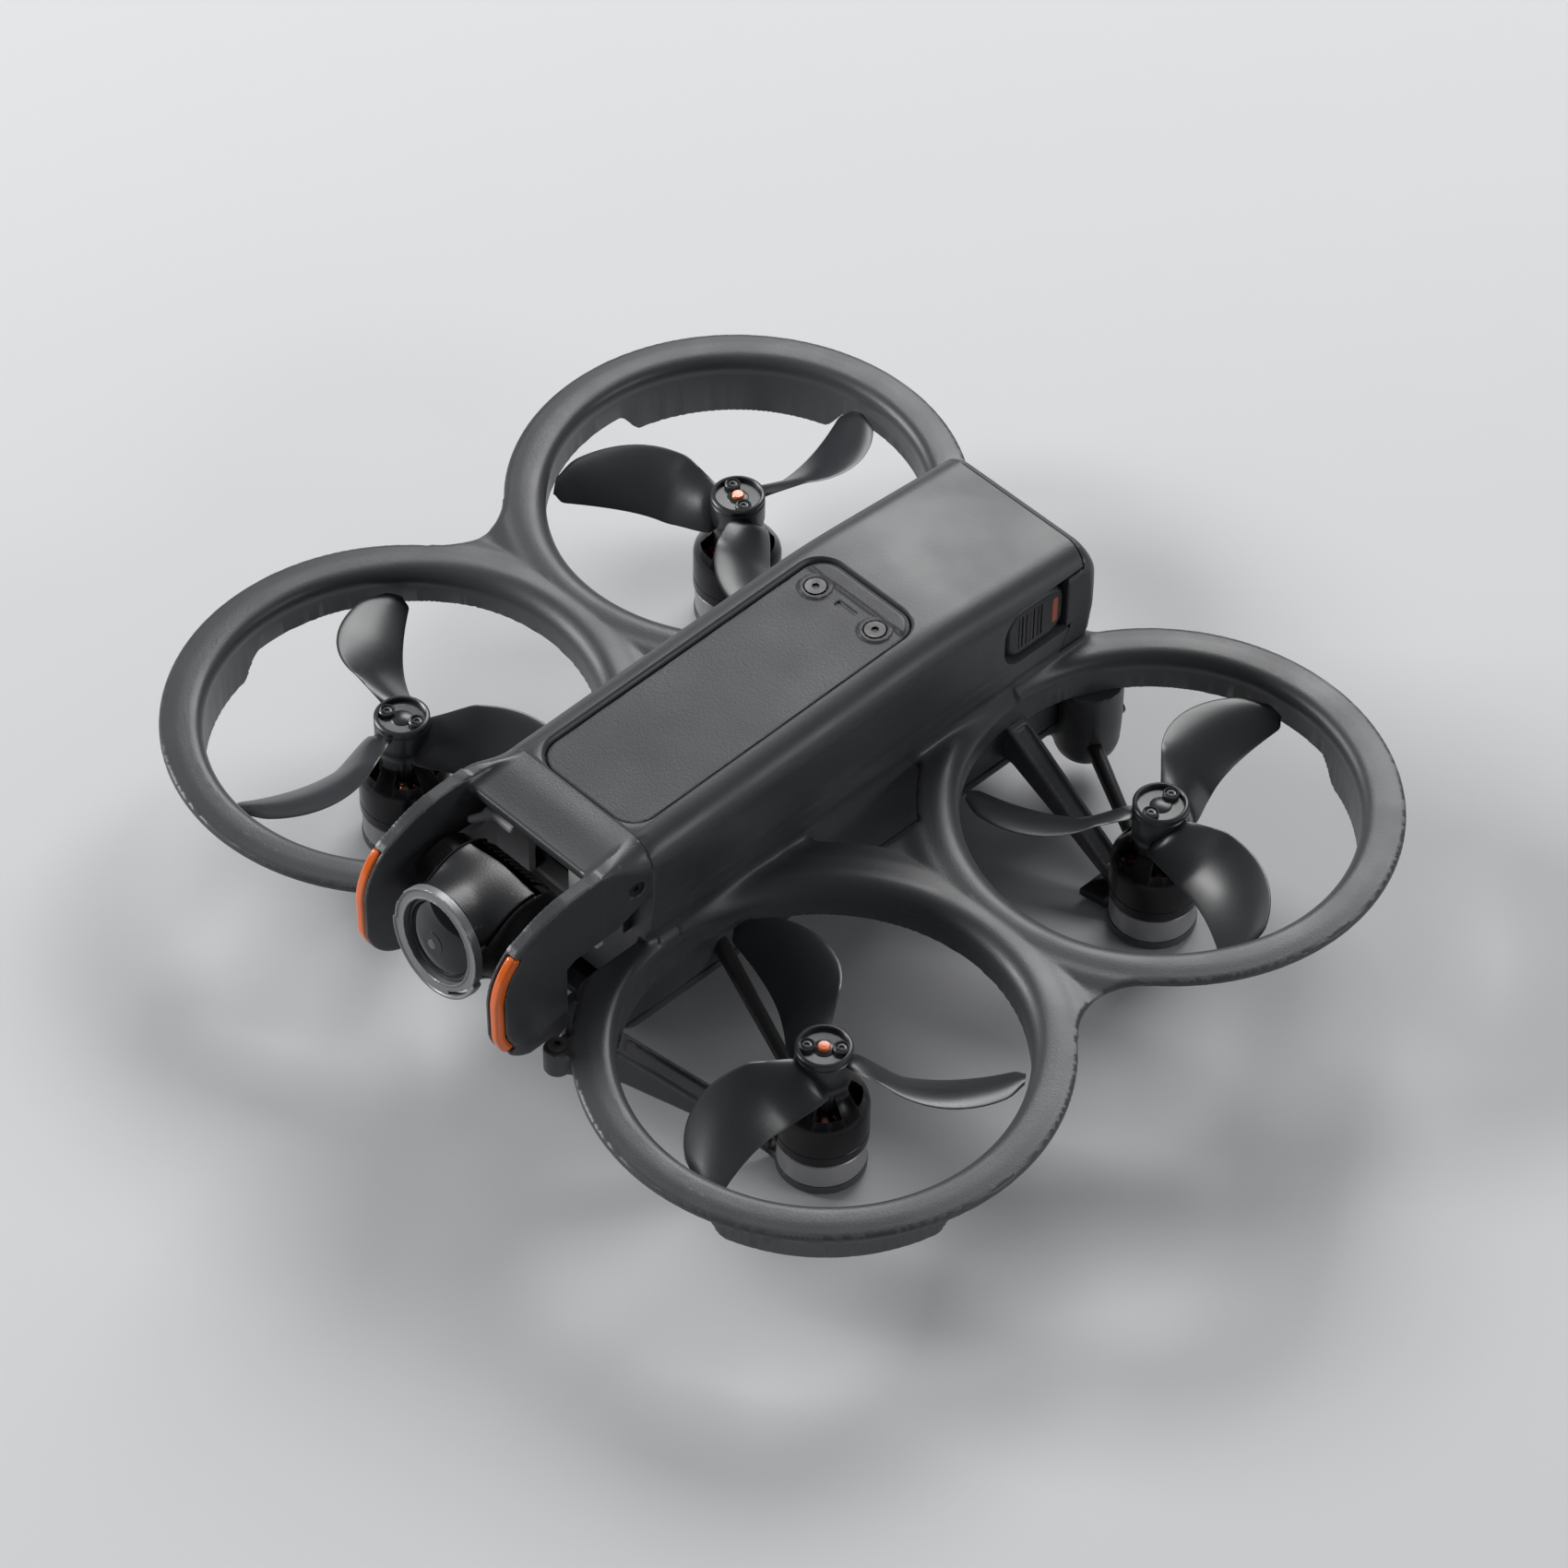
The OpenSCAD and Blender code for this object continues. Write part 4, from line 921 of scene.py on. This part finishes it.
def motors():
    """Bell with its shaft, mount cup, and stator with wound teeth."""
    bell_profile = [(0, 20.2), (4.2, 20.2), (7.5, 18.3), (7.5, 9.3), (7.7, 9.1), (8.7, 9.1), (9.0, 9.4),
                    (9.0, 11.5), (8.92, 11.6), (8.92, 11.9), (9.0, 12.0), (9.0, 17.7), (8.85, 18.5),
                    (8.4, 19.3), (6.3, 22.2), (5.6, 22.9), (5.1, 24.0), (5.1, 24.95), (0, 24.95)]
    shaft_profile = [(0, 3.7), (1.3, 3.7), (1.5, 3.9), (1.5, 20.4), (0, 20.4)]
    cup_profile = [(1.56, 3.0), (8.4, 3.0), (8.6, 3.2), (8.6, 8.35), (8.4, 8.58), (7.85, 8.58), (7.62, 8.4),
                   (7.62, 4.6), (3.2, 4.6), (2.7, 5.0), (2.7, 18.4), (1.56, 18.4), (1.56, 3.0)]
    core_profile = [(2.75, 9), (3.3, 9), (3.3, 17.5), (2.75, 17.5), (2.75, 9)]
    windows, teeth, stator_z = 5, 9, 13.25
    for name in turns:
        c = middle("motor_bell_" + name)
        at = (c[0], c[1], 0)
        bell = turned("bell", bell_profile, BELL, at, 120)
        for k in range(windows):
            a0 = 360 // windows * k + 12
            flat = (polar((c[0], c[1]), 7.55, a0 + 3, a0 + 45, 10)
                    + polar((c[0], c[1]), 4.9, a0 + 40, a0 + 8, 8))
            carve(bell, prism("window", flat, 14, 27, BELL))
        shaft = turned("shaft", shaft_profile, STEEL, at, 32)
        fit(merge("bell_" + name, [bell, shaft]), "rotor_" + name, ["motor_bell_" + name], 30)

        base = turned("base", cup_profile, CUP, at, 96)
        fit(base, "frame", ["motor_base_" + name], 30)

        parts = []
        for k in range(teeth):
            a = radians(360 // teeth * k)
            along, across = (cos(a), sin(a)), (-sin(a), cos(a))

            def to(u, v, w):
                return (c[0] + along[0] * w + across[0] * u, c[1] + along[1] * w + across[1] * u, v)

            for part, wide, tall, r, w0, w1 in (("tooth", 4.3, 8.5, 0.25, 6.1, 7.1),
                                                ("web", 1.2, 7.4, 0.2, 2.9, 6.2)):
                parts.append(prism(part, round_rect(wide, tall, r, (0, stator_z), 3), w0, w1, CORE, to=to))
            for i, w in enumerate((3.65, 4.3, 4.95, 5.6)):
                grow = 0.25 + 0.12 * i
                loop = round_rect(1.2 + 2 * grow, 7.4 + 2 * grow, 0.2 + grow, (0, stator_z), 6)
                parts.append(coil(loop, to, w))
        parts.append(turned("ring", core_profile, CORE, at, 48))
        fit(merge("winding_" + name, parts), "frame", ["stator_" + name], 35)


# ---- arms and underside

def arm_field(front, x, y, z):
    """Strut under the left rear or, mirrored, left front rotor, in that rotor's own corner."""
    px, py = x - rotor_x, y - rotor_y
    a = radians(144 if front else 180)
    d = px * cos(a) + py * sin(a)
    e = -px * sin(a) + py * cos(a)
    reach = 50 if front else 42.5
    base = lip_z - wall_h
    flat = outline(d, z, [(6, 1.0), (6, 3.0), (8.8, 3.0), (9.8, 3.6), (9.8, 6.7), (36.6, base - 0.1),
                          (reach, base), (reach, 16.4), (38, 16.1), (24.2, 9.7), (12, 3.4), (9.4, 1)])
    rib = corner(flat, abs(e) - 1.25, 0.5)
    top = (z - 6.7) * 0.822 - (d - 9.8) * 0.57 + 0.45
    cap = corner(within(abs(top) - 0.75, abs(d - 24.5) - 15.0), abs(e) - 2.6, 0.5)
    rib = join(rib, cap, 0.9)
    rib = cut(rib, corner(within(0.2 - top, abs(d - 24.5) - 13.0), abs(e) - 1.5, 0.2), 0.2)
    plate = drum(z, px, py, 1.0, 3.0, 8.8, 0.35)
    whole = join(rib, plate, 1.2)
    whole = within(whole, side_x - 0.3 - x, 1.0 - z)
    return cut(whole, np.hypot(px, py) - 2.1, 0.1)


def brace_field(front, x, y, z):
    """Lug beside the motor and the tube from there to the fuselage or to the tail leg."""
    px, py = x - rotor_x, y - rotor_y
    lug = outline(px, py, [(-7.5, -5), (-5.5, 3), (-14, 2.2), (-14, -6.2)])
    whole = corner(lug, abs(z - 2.0) - 0.95, 0.4)
    if front:
        bar = rod(x, y, z, (rotor_x - 6, rotor_y - 5, 3.2), (10, rotor_y - 14, 24), 1.3, 1.8)
    else:
        bar = rod(x, y, z, (rotor_x - 6.5, rotor_y + 5.5, 4.2), (20.5, 64.5, 13.5), 1.3, 1.8)
        bar = within(bar, 6.9 - np.hypot(x - 20.5, y - 65.5))
    bar = within(bar, 9.6 - np.hypot(px, py) + 20 * (z < 2.9))
    return within(join(whole, bar, 1.0), side_x - 0.3 - x, 1.0 - z)


def arms():
    for name in turns:
        front, left = name.startswith("front"), name.endswith("left")
        sx, sy = (1 if left else -1), (-1 if front else 1)
        low, high = span("arm_" + name)
        parts = []
        # The lug and tube take the darkest plastic as painted shade, for the shade they sit in under the
        # ducts.
        for part, field, mat, most in (("strut", arm_field, ARM, 30000), ("brace", brace_field, DARK, 12000)):
            parts.append(shape(part, lambda x, y, z: field(front, sx * x, sy * y, z), low - 0.9, high + 0.9,
                               0.45, mat, most))
        fit(merge("strut_" + name, parts), "frame", ["arm_" + name], 40)


def underside():
    """Belly cover with air slots and sensor eyes, and the two tail legs."""
    low, high = span("belly_cover")
    pod = (20.5, 65.5)
    floor_z = 8.5

    def field(x, y, z):
        ax = abs(x)
        d = ax - (side_x - 5.2 * smooth((split_z - z) / 9.5) ** 1.6)
        d = keep(d, floor_z - z, 2.2)
        d = keep(d, (-60 + 1.15 * (split_z - z) - y) * 0.75, 1.5)
        d = keep(d, y - 63 + 0.5 * (split_z - z), 1.5)
        shell = within(d, z - split_z + 0.2)
        leg = np.hypot(ax - pod[0], y - pod[1])
        ball = np.sqrt(leg ** 2 + np.minimum(z - 10.5, 0) ** 2) - 7.0 + 0.25 * smooth((16 - z) / 8)
        leg = within(ball, z - lip_z + 9.3, 12.4 - ax)
        leg = within(leg, np.where(z > split_z - 0.2, side_x + 0.4 - ax, -9))
        d = join(shell, leg, 2.2)
        d = within(d, np.where(z > split_z - 0.2, side_x + 0.35 - ax, -9))
        # seat of the tail sensor, tipped up a little
        b = radians(15)
        dy, dz = y - pod[1] - 3, z - 13
        along = dy * cos(b) + dz * sin(b)
        off = np.hypot(ax - pod[0], dz * cos(b) - dy * sin(b))
        d = cut(d, within(off - 3.7, -along), 0.3)
        return d

    cover = shape("underside", field, low - 0.2, high + 0.2, 0.55, SHELL, 80000)
    carve(cover, block("inside", (-14.6, -55, floor_z + 1.8), (14.6, 60.5, split_z + 9)))
    for i in range(-3, 4):
        flat = round_rect(18, 1.6, 0.75, (0, -31 + 3.2 * i), 6)
        carve(cover, prism("slot", flat, floor_z - 2, floor_z + 3, SHELL))
    for x, r in ((-8.5, 3.6), (0, 2.3), (8.5, 3.6)):
        rim = [(0, floor_z + 3), (0, floor_z + 0.4), (0.5, floor_z - 0.1), (3, floor_z - 2.6)]
        carve(cover, flared("eye", lambda g: circle(r + g, 48, (x, 32)), rim, lambda u, v, w: (u, v, w)))
    for x in (-12.6, 12.6):
        for y in (-47, 52):
            carve(cover, prism("seat", circle(2.0, 32, (x, y)), floor_z - 1, floor_z + 1.2, SHELL))
    fit(cover, "frame", ["belly_cover"], 38)


# ---- camera

tilt_low, tilt_high = span("tilt_motor")
tilt_y, tilt_z = (tilt_low + tilt_high)[1] / 2, (tilt_low + tilt_high)[2] / 2
rest = radians(7.5)


def to_camera(x, y, z):
    """Camera frame: across, forwards along the lens axis, and up."""
    dy, dz = y - tilt_y, z - tilt_z
    return x, -(dy * cos(rest)) + dz * sin(rest), dz * cos(rest) + dy * sin(rest)


def camera():
    """Housing, cooling fins, bezel and lens, built about the tilt axis."""
    fin_pitch, glass_r = 1.45, 8.75

    def housing(x, y, z):
        u, f, w = to_camera(x, y, z)
        barrel = drum(u, f, w, -10, 10, 9.95, 1.3)
        neck = drum(f, u, w, -2, 12.8, 10.0, 0.5)
        d = join(barrel, neck, 3.0)
        back = within(-f - 1.1, abs(u) - 8.9)
        end = within(-f - 8.2, 9.3 - abs(u))
        d = keep(d, np.minimum(back, end), 0.3)
        d = cut(d, brick(u, f, w, (0, -3, 0), (7.9, 8.7, 7.2), 0.6), 0.2)
        d = cut(d, within(np.hypot(u, w) - 6.3, 2 - f), 0.2)
        return cut(d, np.hypot(f, w) - 1.56, 0.1)

    stand_in("camera_body", "camera_housing", "camera", housing, 0.3, BODY, 60000, 38,
             (0.2, 3, 1.2), (0.2, 0.4, 1.6))

    def fins(x, y, z):
        u, f, w = to_camera(x, y, z)
        r = np.hypot(f, w)
        core = within(abs(u) - 9.1, f + 1.5, 7.2 - np.hypot(f + 1, w))
        core = keep(r - 8.0, core, 0.3)
        rib = abs((u / fin_pitch + 0.3 + 0.06 * f) % 1 - 0.5) * fin_pitch - 0.38
        rib = within(rib, abs(u + 1.6) - 7.2, f + 1.3)
        rib = keep(within(rib, 7.4 - r), r - 9.6, 0.25)
        pad = within(abs(u - 7.6) - 1.4, f + 1.6, 7.4 - r)
        pad = keep(r - 9.3, pad, 0.3)
        return np.minimum(np.minimum(core, pad), rib)

    stand_in("camera_fins", "camera_heat_sink", "camera", fins, 0.27, FINS, 60000, 38)

    def bezel(x, y, z):
        u, f, w = to_camera(x, y, z)
        r, a = np.hypot(u, w), np.degrees(np.arctan2(w, -u)) % 360
        big = smooth((a - 195) / 2) * (1 - smooth((a - 352) / 2)) * 0.6
        back = drum(f, u, w, 10.6, 13.6, 9.6, 0.2)
        front = corner(r - 10.95 - big, abs(f - 13.9) - 0.75, 0.3)
        rim = corner(abs(r - 10.85 - big) - 0.28, abs(f - 14.0) - 0.95, 0.2)
        inner = corner(abs(r - 8.9) - 0.25, abs(f - 14.0) - 0.85, 0.2)
        d = join(back, join(join(front, rim, 0.25), inner, 0.2), 0.2)
        d = cut(d, r - glass_r, 0.12)
        # open arc of the bayonet, and the two steps beside it
        gap = within(abs(a - 228) - 17, abs(r - 10.6) - 0.35)
        d = cut(d, within(gap, 13.0 - f), 0.12)
        nick = within(abs((a - 22 + 180) % 360 - 180) - 9, 10.9 - r)
        return cut(d, within(nick, 12.6 - f), 0.2)

    stand_in("lens_ring", "lens_bezel", "camera", bezel, 0.22, RIM, 70000, 38, 0.5, 0.5)

    ball, edge = 15.5, 8.7
    wide = asin(edge / ball)
    dome = [(0, 9.0), (edge, 9.0)]
    dome += [(ball * sin(b), 13.0 + ball * (cos(b) - cos(wide)))
             for b in np.linspace(wide, 0, 26)]
    crown = dome[-1][1]
    dome[-1] = (0, crown)
    ring = [(7.9, 13.2), (8.7, 12.9), (8.72, 13.45), (8.4, 13.6), (7.9, 13.55), (7.9, 13.2)]
    iris = [(0, crown - 0.2), (2.6, crown - 0.3), (2.6, crown - 0.12), (2.3, crown - 0.1), (0, crown + 0.02)]
    pupil = [(0, crown - 0.1), (1, crown - 0.1), (1, crown + 0.02), (0.8, crown + 0.06), (0, crown + 0.09)]
    along_lens = Matrix(((1, 0, 0, 0), (0, sin(rest), -cos(rest), tilt_y * M),
                         (0, cos(rest), sin(rest), tilt_z * M), (0, 0, 0, 1)))
    parts = []
    # The pupil's green tint is a painted reflection of the lens coating; its darkness is the lens's inside.
    for name, profile, mat, sides in (("dome", dome, GLASS, 96), ("ring", ring, DARK, 96),
                                      ("iris", iris, GLASS, 48), ("pupil", pupil, PUPIL_PAINTED_REFLECTION, 40)):
        part = turned(name, profile, mat, sides=sides)
        part.data.transform(along_lens)
        parts.append(part)
    fit(merge("lens_front", parts), "camera", ["lens_glass"], 30)


def gimbal():
    def bracket(x, y, z):
        """Light clip that holds the dampers, above the right side of the camera."""
        clip = brick(x, y, z, (-9.2, -62.4, 55.7), (4.0, 2.3, 0.9), 0.7)
        clip = join(clip, rod(x, y, z, (-11.6, -63.5, 55.2), (-14.0, -66.8, 54.4), 1.1, 0.8), 0.8)
        return join(clip, rod(x, y, z, (-7, -61.2, 55.8), (-4.8, -60.2, 55.4), 1.3, 0.9), 0.8)

    piece = shape("damper_clip", bracket, (-17, -69, 52.5), (-3, -58, 57.5), 0.3, BRACKET, 12000)
    fit(piece, "frame", [])


finish_skin()
top_cover()
nose_bumper()
tail_cap()
latches()
power_button()
propellers()
motors()
arms()
underside()
camera()
gimbal()


def repaint():
    """CAD nodes that stay in view take the procedural finishes."""
    kept = {"screw": STEEL, "pad": RUBBER, "board": BOARD, "heat_sink": SINK, "sensor": GLASS,
            "damper": RUBBER, "gimbal": BRACKET, "motor": BELL, "cell": CELL, "light": LIGHTS,
            "shell": SHELL, "belly": SHELL, "camera": BODY}
    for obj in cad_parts.values():
        old = obj.data.materials
        if old and not obj.hide_render:
            finish = kept.get(old[0].name, DARK)
            for i in range(len(old)):
                old[i] = finish


repaint()

# ---- camera, light

def studio():
    """Camera at the solved viewing angle, pale floor, three soft lamps and a dim sky."""
    scene = bpy.context.scene
    cam_data = bpy.data.cameras.new("camera")
    cam = placed("camera", cam_data)
    azimuth, elevation, roll = (radians(a) for a in (45.15, 46.36, 1.09))
    place = Vector((0.6120, -0.6074, 0.9307))
    back = Vector((cos(elevation) * sin(azimuth), -cos(elevation) * cos(azimuth),
                   sin(elevation)))
    right = Vector((cos(azimuth), sin(azimuth), 0))
    up = back.cross(right)
    right, up = right * cos(roll) + up * sin(roll), up * cos(roll) - right * sin(roll)
    turn = Matrix((right, up, back)).transposed().to_4x4()
    turn.translation = place
    cam.matrix_world = turn
    cam_data.lens, cam_data.sensor_width = 147.97, 36
    cam_data.clip_start, cam_data.clip_end = 0.05, 20
    scene.camera = cam

    paper = material("floor_paper", (0.6, 0.605, 0.615), 0.75, grain=(900, 0.04), wear=0, mottle=0,
                     drift=0.1)
    far = 4000
    floor = mesh_object("floor", [(-far, -far, 0), (far, -far, 0), (far, far, 0), (-far, far, 0)],
                        [(0, 1, 2, 3)], paper)

    def lamp(name, place, target, size, power):
        data = bpy.data.lights.new(name, "AREA")
        data.shape, data.size, data.size_y = "RECTANGLE", size[0], size[1]
        data.energy = power
        o = placed(name, data)
        o.location = place
        o.rotation_euler = (Vector(target) - Vector(place)).to_track_quat("-Z", "Y").to_euler()

    lamp("key", (-0.6, 1.25, 1.15), (0, 0, 0), (1.3, 0.8), 26)
    lamp("side", (-1.3, -0.85, 0.85), (0, 0, 0), (0.8, 0.5), 27)
    lamp("rim", (1.4, 0.6, 0.6), (0, 0, 0.03), (0.7, 0.4), 5)
    world = bpy.data.worlds.new("studio")
    scene.world = world
    world.use_nodes = True
    sky = world.node_tree.nodes["Background"].inputs
    sky[0].default_value, sky[1].default_value = (0.8, 0.82, 0.86, 1), 0.16
    scene.view_settings.view_transform = "Standard"


studio()
